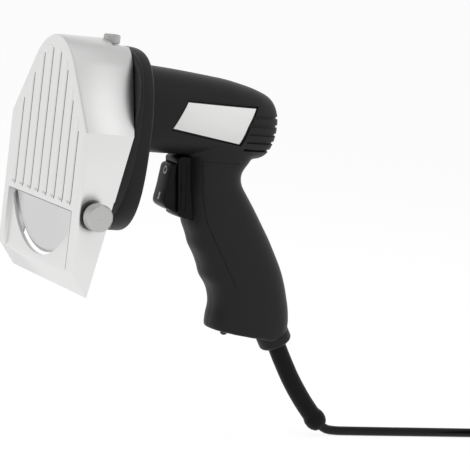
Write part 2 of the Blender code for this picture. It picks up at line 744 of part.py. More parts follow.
def add_hub():
    """The hub that centres the blade, its drive pins and the left-hand screw that holds it."""
    boss = BLADE_BORE_RADIUS - GAP
    boss_front = BLADE_FRONT_X + GAP
    hole = BLADE_SCREW_RADIUS + GAP
    socket = SPINDLE_RADIUS + GAP
    socket_x = HUB_REAR_X - HUB_THICKNESS / 2
    profile = [
        (boss_front, hole),
        (boss_front, boss),
        (HUB_FRONT_X, boss),
        (HUB_FRONT_X, HUB_RADIUS),
        (HUB_REAR_X, HUB_RADIUS),
        (HUB_REAR_X, socket),
        (socket_x, socket),
        (socket_x, hole),
    ]
    hub = add_object("blade_hub", turned(profile), "zinc_steel")
    middle = HUB_REAR_X - HUB_THICKNESS / 2
    pins = [rod(boss_front, middle, DRIVE_PIN_RADIUS, SMALL_SIDES, (0, y, z)) for y, z in pin_places()]
    combine(hub, add_cutter("drive_pins", merge(pins)), "UNION")
    head_rear = BLADE_FRONT_X - GAP
    head_front = head_rear - BLADE_SCREW_HEAD
    screw = [
        (head_front, 0),
        (head_front, BLADE_SCREW_HEAD_RADIUS - KNOB_BEVEL),
        (head_rear, BLADE_SCREW_HEAD_RADIUS),
        (head_rear, BLADE_SCREW_RADIUS),
        (head_rear + BLADE_SCREW_LENGTH, BLADE_SCREW_RADIUS),
        (head_rear + BLADE_SCREW_LENGTH, 0),
    ]
    add_object("blade_screw", turned(screw), "steel")


def add_spindle():
    """The blade spindle with its seal, front ball bearing and rear bush."""
    front = HUB_REAR_X - HUB_THICKNESS / 2 + GAP
    hole = BLADE_SCREW_RADIUS + GAP
    thread_end = BLADE_FRONT_X + BLADE_SCREW_LENGTH + GAP
    profile = [
        (front, hole),
        (front, SPINDLE_RADIUS),
        (SPINDLE_REAR_X, SPINDLE_RADIUS),
        (SPINDLE_REAR_X, 0),
        (thread_end, 0),
        (thread_end, hole),
    ]
    add_object("blade_spindle", turned(profile, SMALL_SIDES), "steel")
    bore = SPINDLE_RADIUS + GAP
    seal = tube(HUB_REAR_X + GAP, COVER_FRONT_X - GAP, bore, SEAL_RADIUS, SMALL_SIDES)
    add_object("spindle_seal", seal, "felt")
    bearing = tube(BEARING_FRONT_X + GAP, BEARING_REAR_X, bore, SPINDLE_BEARING_RADIUS)
    add_object("spindle_front_bearing", bearing, "steel")
    bush = tube(BUSH_FRONT_X, GEAR_ROOM_REAR_X - GAP, bore, BUSH_RADIUS, SMALL_SIDES)
    add_object("spindle_rear_bush", bush, "bearing_bronze")


def gear_ring(teeth, phase):
    """The outline of a spur gear in a plane, as points round zero."""
    pitch_radius = GEAR_MODULE * teeth / 2
    root = pitch_radius - TOOTH_ROOT_SHARE * GEAR_MODULE
    tip = pitch_radius + TOOTH_TIP_SHARE * GEAR_MODULE
    step = math.tau / teeth
    corners = (
        (-TOOTH_ROOT_WIDTH_SHARE / 2, root),
        (-TOOTH_PITCH_WIDTH_SHARE / 2, pitch_radius),
        (-TOOTH_TIP_WIDTH_SHARE / 2, tip),
        (TOOTH_TIP_WIDTH_SHARE / 2, tip),
        (TOOTH_PITCH_WIDTH_SHARE / 2, pitch_radius),
        (TOOTH_ROOT_WIDTH_SHARE / 2, root),
    )
    angles = [((i + share) * step + phase, r) for i in range(teeth) for share, r in corners]
    return [(r * math.cos(a), r * math.sin(a)) for a, r in angles]


def gear(teeth, phase, front, rear, bore, centre):
    """A spur gear with a round bore, about an axis along X."""
    outline = [(centre[0] + y, centre[1] + z) for y, z in gear_ring(teeth, phase)]
    made = add_object(f"gear_{teeth}", slab(outline, front, rear), "gear_nylon", (0, *centre))
    hole = rod(front - OVERRUN, rear + OVERRUN, bore, SMALL_SIDES, (0, *centre))
    return combine(made, add_cutter(f"gear_{teeth}_bore", hole))


def idler_place():
    """The idler's axis in (y, z), from the two pairs' centre distances."""
    to_motor = GEAR_MODULE * (PINION_TEETH + IDLER_WHEEL_TEETH) / 2
    to_blade = GEAR_MODULE * (IDLER_PINION_TEETH + BLADE_GEAR_TEETH) / 2
    z = (to_blade ** 2 - to_motor ** 2 + MOTOR_Z ** 2) / (2 * MOTOR_Z)
    return math.sqrt(to_blade ** 2 - z ** 2), z


def mesh_phase(own_teeth, other_teeth, other_phase, own_centre, other_centre):
    """The phase that puts a gap of this gear opposite a tooth or gap of the other, so that they mesh."""
    toward = math.atan2(other_centre[1] - own_centre[1], other_centre[0] - own_centre[0])
    other_step = math.tau / other_teeth
    offset = ((toward + math.pi - other_phase) / other_step) % 1
    return toward + (0.5 + offset) * math.tau / own_teeth


def add_gears():
    """The two-stage spur train: armature pinion, idler and blade gear."""
    idler = idler_place()
    motor = (0, MOTOR_Z)
    blade = (0, 0)
    bore = SPINDLE_RADIUS + GAP
    drive = gear(BLADE_GEAR_TEETH, 0, BLADE_GEAR_FRONT_X, BLADE_GEAR_REAR_X, bore, blade)
    drive.name = "blade_gear"
    pinion_phase = mesh_phase(IDLER_PINION_TEETH, BLADE_GEAR_TEETH, 0, idler, blade)
    axle_bore = IDLER_AXLE_RADIUS + GAP
    pinion_front = BLADE_GEAR_FRONT_X - PINION_EXTRA / 2
    pinion_rear = WHEEL_FRONT_X + WHEEL_FACE / 2
    lower = gear(IDLER_PINION_TEETH, pinion_phase, pinion_front, pinion_rear, axle_bore, idler)
    lower.name = "idler_pinion_form"
    lower.hide_render = True
    lower.display_type = "WIRE"
    wheel = gear(IDLER_WHEEL_TEETH, 0, WHEEL_FRONT_X, WHEEL_REAR_X, axle_bore, idler)
    wheel.name = "idler_gear"
    combine(wheel, lower, "UNION")
    motor_phase = mesh_phase(PINION_TEETH, IDLER_WHEEL_TEETH, 0, motor, idler)
    top_front = WHEEL_FRONT_X - PINION_EXTRA
    top_rear = WHEEL_REAR_X + PINION_EXTRA
    top = gear(PINION_TEETH, motor_phase, top_front, top_rear, SHAFT_RADIUS + GAP, motor)
    top.name = "motor_pinion"
    axle_front = COVER_REAR_X - COVER_THICKNESS / 2
    axle_rear = GEAR_ROOM_REAR_X + GUARD_WALL
    axle = rod(axle_front, axle_rear, IDLER_AXLE_RADIUS, SMALL_SIDES, (0, *idler))
    add_object("idler_axle", axle, "steel", (0, *idler))


def neck_outline(inset=0):
    """The housing neck's outline in (y, z), which fits inside the guard."""
    upper = guard_outline(GUARD_WALL + NECK_GAP + inset, 0, NECK_TOP_Z - inset)[2:]
    radius = NECK_LOWER_RADIUS - inset
    start = math.asin((upper[0][1] - FLANGE_Z) / radius)
    lower = arc((0, FLANGE_Z), radius, -math.pi - start, start, ROUND_SIDES)
    return [*lower[:-1], *upper[:-1]]


def cover_screw_places():
    """The three cover screws' centres in (y, z)."""
    return arc((0, FLANGE_Z), COVER_SCREW_CIRCLE, math.radians(90), math.radians(330), 2)


def bearing_seat():
    """The stepped hole for the spindle and its front bearing."""
    clear = SPINDLE_RADIUS + RUN_GAP
    seat = SPINDLE_BEARING_RADIUS + GAP
    rear = COVER_BOSS_REAR_X + OVERRUN
    front = BEARING_FRONT_X
    return turned([(0, 0), (0, clear), (front, clear), (front, seat), (rear, seat), (rear, 0)])


def knob_ear():
    """The ear that reaches out to the guard's wall and takes the side knob's stud."""
    half = EAR_HALF_HEIGHT
    outer = GUARD_WALL + NECK_GAP - GUARD_HALF_WIDTH
    low = (COVER_REAR_X - EAR_DEPTH, outer, SIDE_KNOB_Z - half)
    return block(low, (COVER_REAR_X, outer + EAR_REACH, SIDE_KNOB_Z + half))


def add_gear_cover():
    """The plate that closes the gear room, with the spindle's front bearing and the side knob's ear."""
    cover = add_object("gear_cover", slab(neck_outline(), COVER_FRONT_X, COVER_REAR_X), "cast_aluminium")
    middle = COVER_REAR_X - COVER_THICKNESS / 2
    boss = rod(middle, COVER_BOSS_REAR_X, COVER_BOSS_RADIUS, ROUND_SIDES)
    combine(cover, add_cutter("cover_boss", boss), "UNION")
    combine(cover, add_cutter("cover_ear", knob_ear()), "UNION")
    combine(cover, add_cutter("cover_bearing_seat", bearing_seat()))
    stud_hole = STUD_RADIUS + GAP
    stud_end = SIDE_STUD_REACH - GUARD_HALF_WIDTH + GAP
    knob = (SIDE_KNOB_X, 0, SIDE_KNOB_Z)
    axle = (0, *idler_place())
    holes = [
        rod(middle - GAP, COVER_REAR_X + OVERRUN, IDLER_AXLE_RADIUS + GAP, SMALL_SIDES, axle),
        rod(-GUARD_HALF_WIDTH, stud_end, stud_hole, SMALL_SIDES, knob, "Y"),
    ]
    for y, z in cover_screw_places():
        holes.append(rod(0, COVER_REAR_X + OVERRUN, SCREW_RADIUS + GAP, SMALL_SIDES, (0, y, z)))
    combine(cover, add_cutter("cover_holes", merge(holes)))


def add_screw(name, head_front, length, centre, axis="X", way=1):
    """A plain cap screw along an axis, with its head's outer face at head_front."""
    seat = head_front + way * SCREW_HEAD
    tip = seat + way * length
    profile = [
        (head_front, 0),
        (head_front, SCREW_HEAD_RADIUS),
        (seat, SCREW_HEAD_RADIUS),
        (seat, SCREW_RADIUS),
        (tip, SCREW_RADIUS),
        (tip, 0),
    ]
    add_object(name, turned(profile, SMALL_SIDES, centre, axis), "zinc_steel")


def add_cover_screws():
    """Three screws that hold the gear cover to the housing's neck."""
    for number, (y, z) in enumerate(cover_screw_places(), 1):
        head_front = COVER_FRONT_X - GAP - SCREW_HEAD
        add_screw(f"cover_screw_{number}", head_front, COVER_SCREW_LENGTH, (0, y, z))


def flange():
    """The housing's oval flange, with a swept rear face and a rounded rear rim."""
    def edge(inset):
        half, tall = FLANGE_HALF_WIDTH - inset, FLANGE_HALF_HEIGHT - inset
        return oval(0, FLANGE_Z, half, tall, FLANGE_POWER_SHARE, ROUND_SIDES * 2)

    small = FLANGE_ROUND / 6
    rings = []
    for inset, back in ((small, 0), (0, small)):
        rings.append([(flange_front_x(z) + back, y, z) for y, z in edge(inset)])
    for degrees in (0, 30, 60, 90):
        a = math.radians(degrees)
        back = FLANGE_ROUND * (math.sin(a) - 1)
        points = edge(FLANGE_ROUND * (1 - math.cos(a)))
        rings.append([(flange_rear_x(y, z) + back, y, z) for y, z in points])
    steps = 6
    last = rings[-1]
    for i in range(1, steps):
        keep = 1 - i / steps
        points = [(y * keep, FLANGE_Z + (z - FLANGE_Z) * keep) for x, y, z in last]
        rings.append([(flange_rear_x(y, z), y, z) for y, z in points])
    return loft(rings)


def housing_screw_places():
    """The centres in (y, z) of the two screws that hold the shells to the housing."""
    return [(side * HOUSING_SCREW_Y, MOTOR_Z + HOUSING_SCREW_RISE) for side in (-1, 1)]


def housing_holes():
    """The holes in the gear housing that other pieces sit in."""
    pocket_x = GEAR_ROOM_REAR_X + RUN_GAP
    far = FLANGE_REAR_X + FLANGE_ROUND + OVERRUN
    axle_end = GEAR_ROOM_REAR_X + GUARD_WALL + GAP
    axle = (0, *idler_place())
    motor = (0, 0, MOTOR_Z)
    screw_hole = SCREW_RADIUS + GAP
    shaft_hole = (SHAFT_RADIUS + FRONT_BEARING_RADIUS) / 2
    bearing = [
        (GEAR_ROOM_REAR_X - OVERRUN, 0),
        (GEAR_ROOM_REAR_X - OVERRUN, shaft_hole),
        (pocket_x, shaft_hole),
        (pocket_x, FRONT_BEARING_RADIUS + GAP),
        (far, FRONT_BEARING_RADIUS + GAP),
        (far, 0),
    ]
    holes = [
        turned(bearing, ROUND_SIDES, motor),
        rod(BUSH_FRONT_X - OVERRUN, GEAR_ROOM_REAR_X, BUSH_RADIUS + GAP, SMALL_SIDES),
        rod(GEAR_ROOM_REAR_X - OVERRUN, axle_end, IDLER_AXLE_RADIUS + GAP, SMALL_SIDES, axle),
        rod(NECK_TOP_Z - TOP_STUD_REACH, SHELF_Z, STUD_RADIUS + GAP, SMALL_SIDES, (TOP_KNOB_X, 0, 0), "Z"),
    ]
    for y, z in housing_screw_places():
        holes.append(rod(GEAR_ROOM_REAR_X - OVERRUN, far, screw_hole, SMALL_SIDES, (0, y, z)))
    screw_end = COVER_FRONT_X + COVER_SCREW_LENGTH + GAP
    for y, z in cover_screw_places():
        holes.append(rod(COVER_FRONT_X, screw_end, screw_hole, SMALL_SIDES, (0, y, z)))
    return merge(holes)


def add_gear_housing():
    """The black housing: a neck that the guard slides on, the gear room and the round flange."""
    neck = slab(neck_outline(), HOUSING_FRONT_X, lambda z: flange_front_x(z) + OVERRUN)
    housing = add_object("gear_housing", neck, "black_plastic")
    combine(housing, add_cutter("housing_flange", flange()), "UNION")
    room = rod(COVER_FRONT_X, GEAR_ROOM_REAR_X, GEAR_ROOM_RADIUS, ROUND_SIDES * 2, (0, 0, FLANGE_Z))
    combine(housing, add_cutter("gear_room", room))
    boss_radius = BUSH_RADIUS + GAP + BUSH_BOSS_WALL
    boss = rod(BUSH_FRONT_X, GEAR_ROOM_REAR_X + RUN_GAP, boss_radius, ROUND_SIDES)
    combine(housing, add_cutter("bush_boss", boss), "UNION")
    combine(housing, add_cutter("housing_holes", housing_holes()))


def add_housing_screws():
    """Two screws from inside the gear room into the shells' front wall."""
    for number, (y, z) in enumerate(housing_screw_places(), 1):
        head_front = GEAR_ROOM_REAR_X - GAP - SCREW_HEAD
        add_screw(f"housing_screw_{number}", head_front, HOUSING_SCREW_LENGTH, (0, y, z))


def motor_tube(name, start, end, inner, outer, finish, sides=ROUND_SIDES):
    """A plain ring about the motor's axis."""
    centre = (0, 0, MOTOR_Z)
    return add_object(name, tube(start, end, inner, outer, sides, centre), finish, centre)


def add_armature():
    """The armature: shaft, slotted core, winding heads, commutator and fan."""
    centre = (0, 0, MOTOR_Z)
    bore = SHAFT_RADIUS + GAP
    shaft_front = WHEEL_FRONT_X - PINION_EXTRA + GAP
    shaft = rod(shaft_front, SHAFT_REAR_X, SHAFT_RADIUS, SMALL_SIDES, centre)
    add_object("motor_shaft", shaft, "steel", centre)
    core_front = STATOR_FRONT_X + STATOR_RING / 2
    core_rear = STATOR_REAR_X - STATOR_RING / 2
    core = motor_tube("armature_core", core_front, core_rear, bore, ARMATURE_RADIUS, "lamination")
    slots = []
    for i in range(ARMATURE_SLOTS):
        angle = math.tau * i / ARMATURE_SLOTS
        slot_low = (0, -AIR_GAP, ARMATURE_RADIUS * 0.75)
        slot = block(slot_low, (core_rear + OVERRUN, AIR_GAP, ARMATURE_RADIUS * 1.5))
        bmesh.ops.rotate(slot, cent=(0, 0, 0), matrix=Matrix.Rotation(angle, 3, "X"), verts=slot.verts)
        bmesh.ops.translate(slot, verts=slot.verts, vec=centre)
        slots.append(slot)
    combine(core, add_cutter("armature_slots", merge(slots)))
    front_head = core_front - GAP - WINDING_HEAD
    motor_tube("armature_winding_front", front_head, core_front - GAP, bore, WINDING_RADIUS, "copper_wire")
    rear_head = core_rear + GAP
    head_end = rear_head + WINDING_HEAD
    motor_tube("armature_winding_rear", rear_head, head_end, bore, WINDING_RADIUS, "copper_wire")
    start = commutator_x()
    motor_tube("commutator", start, start + COMMUTATOR_LENGTH, bore, COMMUTATOR_RADIUS, "brass")


def commutator_x():
    """The commutator's front face, just behind the rear winding head."""
    return STATOR_REAR_X - STATOR_RING / 2 + WINDING_HEAD + 2 * GAP


def add_fan():
    """The cooling fan: a disc with straight radial blades round a hub."""
    centre = (0, 0, MOTOR_Z)
    rear = FAN_FRONT_X + FAN_WIDTH
    disc_front = rear - HOLDER_WALL
    hub = SHAFT_RADIUS + HOLDER_WALL * 2
    profile = [
        (FAN_FRONT_X, SHAFT_RADIUS + GAP),
        (FAN_FRONT_X, hub),
        (disc_front, hub),
        (disc_front, FAN_RADIUS),
        (rear, FAN_RADIUS),
        (rear, SHAFT_RADIUS + GAP),
    ]
    fan = add_object("cooling_fan", turned(profile, ROUND_SIDES, centre), "fan_nylon", centre)
    blades = []
    for i in range(FAN_BLADES):
        half = HOLDER_WALL / 2
        blade = block((FAN_FRONT_X + half, -half, hub - half), (disc_front + half, half, FAN_RADIUS - half))
        turn = Matrix.Rotation(math.tau * i / FAN_BLADES, 3, "X")
        bmesh.ops.rotate(blade, cent=(0, 0, 0), matrix=turn, verts=blade.verts)
        bmesh.ops.translate(blade, verts=blade.verts, vec=centre)
        blades.append(blade)
    combine(fan, add_cutter("fan_blades", merge(blades)), "UNION")


def add_stator():
    """The fixed laminations and the two field coils inside them."""
    centre = (0, 0, MOTOR_Z)
    inner = STATOR_RADIUS - STATOR_RING
    outer = STATOR_RADIUS
    sides = ROUND_SIDES * 2
    ring = motor_tube("stator_core", STATOR_FRONT_X, STATOR_REAR_X, inner, outer, "lamination", sides)
    pole_inner = ARMATURE_RADIUS + AIR_GAP
    pole_outer = inner + AIR_GAP
    poles = [
        block(
            (STATOR_FRONT_X, -POLE_HALF_WIDTH, side * pole_inner),
            (STATOR_REAR_X, POLE_HALF_WIDTH, side * pole_outer),
        )
        for side in (-1, 1)
    ]
    for pole in poles:
        bmesh.ops.translate(pole, verts=pole.verts, vec=centre)
        bmesh.ops.recalc_face_normals(pole, faces=pole.faces)
    combine(ring, add_cutter("stator_poles", merge(poles)), "UNION")
    bore = rod(STATOR_FRONT_X - OVERRUN, STATOR_REAR_X + OVERRUN, pole_inner, ROUND_SIDES, centre)
    combine(ring, add_cutter("stator_bore", bore))
    spread = math.radians(38)
    overhang = STATOR_RING / 2
    for number, facing in enumerate((math.pi, 0), 1):
        outer = arc((0, MOTOR_Z), inner - GAP, facing - spread, facing + spread, 8)
        close = arc((0, MOTOR_Z), pole_inner + AIR_GAP, facing + spread, facing - spread, 8)
        coil = slab([*outer, *close], STATOR_FRONT_X - overhang, STATOR_REAR_X + overhang)
        add_object(f"field_coil_{number}", coil, "copper_wire", centre)


def add_bearings_and_brushes():
    """The armature's two ball bearings, and the carbon brushes in their brass holders."""
    bore = SHAFT_RADIUS + GAP
    front = GEAR_ROOM_REAR_X + RUN_GAP + GAP
    motor_tube("motor_front_bearing", front, front + FRONT_BEARING_WIDTH, bore, FRONT_BEARING_RADIUS, "steel")
    rear = REAR_WALL_X + GAP
    motor_tube("motor_rear_bearing", rear, rear + REAR_BEARING_WIDTH, bore, REAR_BEARING_RADIUS, "steel")
    for number, side in enumerate((-1, 1), 1):
        low, high = brush_box(0)
        start = COMMUTATOR_RADIUS + GAP
        brush = block((low[0], start, low[1]), (high[0], start + BRUSH_LENGTH, high[1]))
        holder_low, holder_high = brush_box(HOLDER_WALL + GAP)
        holder_start = start + HOLDER_WALL
        low = (holder_low[0], holder_start, holder_low[1])
        holder = block(low, (holder_high[0], HOLDER_REACH, holder_high[1]))
        bore_low, bore_high = brush_box(GAP)
        bore_end = start + BRUSH_LENGTH + GAP
        room = block((bore_low[0], 0, bore_low[1]), (bore_high[0], bore_end, bore_high[1]))
        for shape in (brush, holder, room):
            bmesh.ops.scale(shape, vec=(1, side, 1), verts=shape.verts)
            bmesh.ops.recalc_face_normals(shape, faces=shape.faces)
        add_object(f"carbon_brush_{number}", brush, "carbon")
        made = add_object(f"brush_holder_{number}", holder, "brass")
        combine(made, add_cutter(f"brush_room_{number}", room))


def brush_box(margin):
    """The lowest and highest (x, z) of a brush, grown by a margin."""
    x = commutator_x() + COMMUTATOR_LENGTH / 2
    low = (x - BRUSH_WIDTH / 2 - margin, MOTOR_Z - BRUSH_HEIGHT / 2 - margin)
    high = (x + BRUSH_WIDTH / 2 + margin, MOTOR_Z + BRUSH_HEIGHT / 2 + margin)
    return low, high


# Shares of the barrel's length, then of its height lost at the top and bottom, then of its width
BARREL_SHARES = (
    (0.000, 0.000, 0.000, 1.000),
    (0.326, 0.040, 0.000, 1.000),
    (0.547, 0.078, 0.000, 0.985),
    (0.642, 0.097, 0.000, 0.965),
    (0.737, 0.129, 0.000, 0.913),
    (0.863, 0.186, 0.000, 0.826),
    (0.947, 0.250, 0.042, 0.685),
    (0.990, 0.358, 0.169, 0.478),
    (1.000, 0.484, 0.235, 0.292),
)
# Shares of the grip's height down from its top, then of its depth at the front and at the rear
GRIP_SHARES = (
    (0.000, -0.060, 0.537),
    (0.110, -0.047, 0.466),
    (0.174, -0.034, 0.408),
    (0.232, -0.022, 0.418),
    (0.284, -0.010, 0.471),
    (0.339, 0.004, 0.531),
    (0.394, 0.018, 0.588),
    (0.450, 0.028, 0.644),
    (0.505, 0.067, 0.698),
    (0.573, 0.120, 0.757),
    (0.668, 0.191, 0.834),
    (0.727, 0.238, 0.870),
    (0.811, 0.306, 0.909),
    (0.872, 0.327, 0.933),
    (0.936, 0.316, 0.949),
)
# Shares of the stator bore's rear room, along its length and of the stator's radius
BRUSH_ROOM_SHARES = ((0.000, 0.963), (0.444, 0.842), (0.740, 0.700), (1.000, 0.553))


def oval(centre_u, centre_v, half_u, half_v, power, count=18):
    """Points of a rounded oval in a plane."""
    points = []
    for i in range(count):
        a = math.tau * (i + 0.5) / count
        u = math.copysign(abs(math.cos(a)) ** (2 / power), math.cos(a))
        v = math.copysign(abs(math.sin(a)) ** (2 / power), math.sin(a))
        points.append((centre_u + half_u * u, centre_v + half_v * v))
    return points


def barrel(inset=0):
    """The motor barrel, drawn in by inset, with its front end along the flange's rear face."""
    height = BARREL_TOP_Z - BARREL_BOTTOM_Z
    front = flange_rear_x(0, MOTOR_Z) + GAP
    length = BARREL_REAR_X - inset - front
    rings = []
    for along, top_loss, bottom_loss, width in BARREL_SHARES:
        top = BARREL_TOP_Z - height * top_loss - inset
        bottom = BARREL_BOTTOM_Z + height * bottom_loss + inset
        half = BARREL_HALF_WIDTH * width - inset
        section = oval(0, (top + bottom) / 2, half, (top - bottom) / 2, SECTION_POWER_SHARE)
        if along == 0:
            steps = 4
            for i in range(1, steps + 1):
                across = [(y * i / steps, MOTOR_Z + (z - MOTOR_Z) * i / steps) for y, z in section]
                rings.append([(flange_rear_x(y, z) + GAP, y, z) for y, z in across])
        else:
            rings.append([(front + length * along, y, z) for y, z in section])
    return split_faces(loft(rings))


def grip_ring(share, front_share, rear_share, inset):
    """One level slice of the grip, drawn in by inset."""
    z = GRIP_TOP_Z + (GRIP_BASE_Z - GRIP_TOP_Z) * share
    front = GRIP_FRONT_X + GRIP_SPAN * front_share + inset
    rear = GRIP_FRONT_X + GRIP_SPAN * rear_share - inset
    section = oval((front + rear) / 2, 0, (rear - front) / 2, GRIP_HALF_WIDTH - inset, GRIP_POWER_SHARE)
    return [(x, y, z) for x, y in section]


def grip():
    """The grip from inside the barrel down to its slanted base."""
    rings = [grip_ring(*row, 0) for row in GRIP_SHARES]
    last = GRIP_SHARES[-1]
    base = grip_ring(1, last[1], last[2], GRIP_BASE_ROUND)
    middle = grip_ring(1, last[1], last[2], 0)
    rings.append([(x, y, grip_base_z(x) + GRIP_BASE_ROUND) for x, y, z in middle])
    rings.append([(x, y, grip_base_z(x)) for x, y, z in base])
    return split_faces(loft(rings))


def grip_room():
    """The hollow inside the grip, from under the barrel to above its base."""
    rows = [row for row in GRIP_SHARES if GRIP_ROOM_TOP_SHARE < row[0] < GRIP_ROOM_BASE_SHARE]
    return split_faces(loft([grip_ring(*row, SHELL_WALL) for row in rows]))


def motor_rooms():
    """The turned hollows for the fan, the stator, the brushes and the rear bearing."""
    stator_seat = STATOR_RADIUS + GAP
    rear_length = REAR_WALL_X - STATOR_REAR_X - STATOR_RING / 2
    profile = [
        (GEAR_ROOM_REAR_X, 0),
        (GEAR_ROOM_REAR_X, FRONT_BEARING_RADIUS / 2),
        (FAN_ROOM_FRONT_X, FRONT_BEARING_RADIUS / 2),
        (FAN_ROOM_FRONT_X, FAN_ROOM_RADIUS),
        (STATOR_FRONT_X - STATOR_RING / 2, FAN_ROOM_RADIUS),
        (STATOR_FRONT_X - STATOR_RING / 2, stator_seat),
        (REAR_WALL_X - rear_length, stator_seat),
    ]
    for along, radius in BRUSH_ROOM_SHARES:
        profile.append((REAR_WALL_X - rear_length * (1 - along), STATOR_RADIUS * radius))
    pocket_end = REAR_WALL_X + REAR_BEARING_WIDTH + 2 * GAP
    pocket = REAR_BEARING_RADIUS + GAP
    profile += [(REAR_WALL_X, pocket), (pocket_end, pocket), (pocket_end, 0)]
    return turned(profile, ROUND_SIDES, (0, 0, MOTOR_Z))


def switch_outline(margin=0):
    """The switch body's outline in (x, z), grown by a margin."""
    top = BARREL_BOTTOM_Z - GAP + margin
    return [
        (SWITCH_FRONT_X - margin, top - SWITCH_WALL * 1.5),
        (SWITCH_FRONT_X + SWITCH_WALL * 2, top),
        (SWITCH_REAR_X + margin, top),
        (SWITCH_REAR_X + margin, SWITCH_BASE_Z - margin),
        (SWITCH_THROAT_X, SWITCH_BASE_Z - margin),
        (SWITCH_CHIN_X - margin, SWITCH_CHIN_Z - margin),
    ]


def sleeve_axis(distance):
    """A point on the sleeve's straight start, at a distance past the collar's seam."""
    angle = math.radians(SLEEVE_TILT_DEGREES)
    return (COLLAR_X + distance * math.cos(angle), 0, COLLAR_Z - distance * math.sin(angle))


def along_sleeve(shape):
    """Turn a shape made about X so that it lies about the sleeve's axis, with zero on the seam."""
    turn = Matrix.Rotation(math.radians(SLEEVE_TILT_DEGREES), 4, "Y")
    move = Matrix.Translation(sleeve_axis(0))
    bmesh.ops.transform(shape, matrix=move @ turn, verts=shape.verts)
    return shape


def label_prism(margin):
    """A slab through the barrel's left side with the label's outline, grown by a margin."""
    corners = [
        (LABEL_FRONT_X - margin, LABEL_TOP_Z + margin),
        (LABEL_REAR_X + margin, LABEL_TOP_Z + margin),
        (LABEL_REAR_X - LABEL_SLANT + margin, LABEL_BASE_Z - LABEL_RISE - margin),
        (LABEL_FRONT_X - LABEL_SLANT - margin, LABEL_BASE_Z - margin),
    ]
    return side_slab(corners, -BARREL_HALF_WIDTH * 2, -BARREL_HALF_WIDTH / 2)


def shell_screw_places():
    """The shell screws: name, (x, z) and how far the head's seat lies from the middle plane."""
    front = (FAN_ROOM_FRONT_X - SHELL_WALL, BARREL_TOP_Z - SHELL_WALL - SCREW_HEAD_RADIUS)
    rear = (REAR_WALL_X + SHELL_WALL * 3, (BARREL_BOTTOM_Z + MOTOR_Z) / 2)
    middle = (ORIGIN_X - SCREW_HEAD_RADIUS, (BARREL_BOTTOM_Z + GRIP_TOP_Z) / 2)
    base = (GRIP_BASE_FRONT_X + SHELL_WALL * 2, GRIP_BASE_Z + SHELL_WALL * 2)
    return (
        ("front", front, BARREL_HALF_WIDTH / 3),
        ("rear", rear, BARREL_HALF_WIDTH / 2),
        ("middle", middle, GRIP_HALF_WIDTH / 2),
        ("base", base, GRIP_HALF_WIDTH / 3),
    )


def body_holes():
    """Screw holes, the base stud's hole and the wiring passage."""
    holes = []
    hole = SCREW_RADIUS + GAP
    head = SCREW_HEAD_RADIUS + GAP
    for name, (x, z), seat in shell_screw_places():
        tip = seat - SHELL_SCREW_LENGTH - GAP
        far = BARREL_HALF_WIDTH + OVERRUN
        profile = [(tip, 0), (tip, hole), (seat, hole), (seat, head), (far, head), (far, 0)]
        holes.append(turned(profile, SMALL_SIDES, (x, 0, z), "Y"))
    for y, z in housing_screw_places():
        end = GEAR_ROOM_REAR_X + HOUSING_SCREW_LENGTH + GAP
        holes.append(rod(GEAR_ROOM_REAR_X, end, hole, SMALL_SIDES, (0, y, z)))
    base = grip_base_z(STUD_FOOT_X)
    foot = (STUD_FOOT_X, 0, 0)
    holes.append(rod(base - OVERRUN, base + STUD_FOOT_REACH, STUD_FOOT_RADIUS + GAP, SMALL_SIDES, foot, "Z"))
    return merge(holes)


def body_form():
    """The whole plastic body before it is split, as a hidden form."""
    body = add_cutter("body_form", barrel())
    combine(body, add_cutter("grip_form", grip()), "UNION")
    half = SWITCH_HALF_WIDTH + GAP
    combine(body, add_cutter("switch_window", side_slab(switch_outline(GAP), -half, half)))
    combine(body, add_cutter("motor_rooms", motor_rooms()))
    combine(body, add_cutter("grip_room", grip_room()))
    passage_top = MOTOR_Z - BRUSH_HEIGHT * 2
    passage_low = GRIP_TOP_Z + (GRIP_BASE_Z - GRIP_TOP_Z) * GRIP_ROOM_TOP_SHARE - SHELL_WALL * 2
    low = (PASSAGE_FRONT_X, -PASSAGE_HALF_WIDTH, passage_low)
    high = (PASSAGE_REAR_X, PASSAGE_HALF_WIDTH, passage_top)
    combine(body, add_cutter("passage", block(low, high)))
    combine(body, add_cutter("body_holes", body_holes()))
    combine(body, holder_seats())
    combine(body, collar_cut())
    combine(body, label_pocket())
    combine(body, rib_grooves())
    return body


def holder_seats():
    """The two pockets in the barrel's sides that the brush holders slide into."""
    low, high = brush_box(HOLDER_WALL + 2 * GAP)
    reach = HOLDER_REACH + GAP
    return add_cutter("holder_seats", block((low[0], -reach, low[1]), (high[0], reach, high[1])))


def collar_cut():
    """Cut the grip's rear corner square to the sleeve, with a hole for the collar's neck."""
    wide = GRIP_HALF_WIDTH * 2
    corner = block((0, -wide, -wide), (wide, wide, wide))
    neck = rod(-COLLAR_NECK * 4, OVERRUN, COLLAR_NECK_RADIUS + GAP, ROUND_SIDES)
    seam = add_cutter("seam_cut", along_sleeve(corner))
    return combine(seam, add_cutter("neck_hole", along_sleeve(neck)), "UNION")


def label_pocket():
    """The shallow pocket that the label lies in."""
    pocket = add_cutter("label_pocket", label_prism(LABEL_MARGIN))
    return combine(pocket, add_cutter("pocket_floor", barrel(LABEL_POCKET_DEPTH)))


def rib_grooves():
    """The level grooves round the barrel's rear end."""
    wide = BARREL_HALF_WIDTH * 2
    shapes = []
    for i in range(RIB_COUNT):
        z = RIB_TOP_Z - i * RIB_PITCH
        low = (RIB_FRONT_X, -wide, z - RIB_WIDTH / 2)
        high = (BARREL_REAR_X + OVERRUN, wide, z + RIB_WIDTH / 2)
        shapes.append(block(low, high))
    grooves = add_cutter("rib_grooves", merge(shapes))
    return combine(grooves, add_cutter("groove_floor", barrel(RIB_DEPTH)))


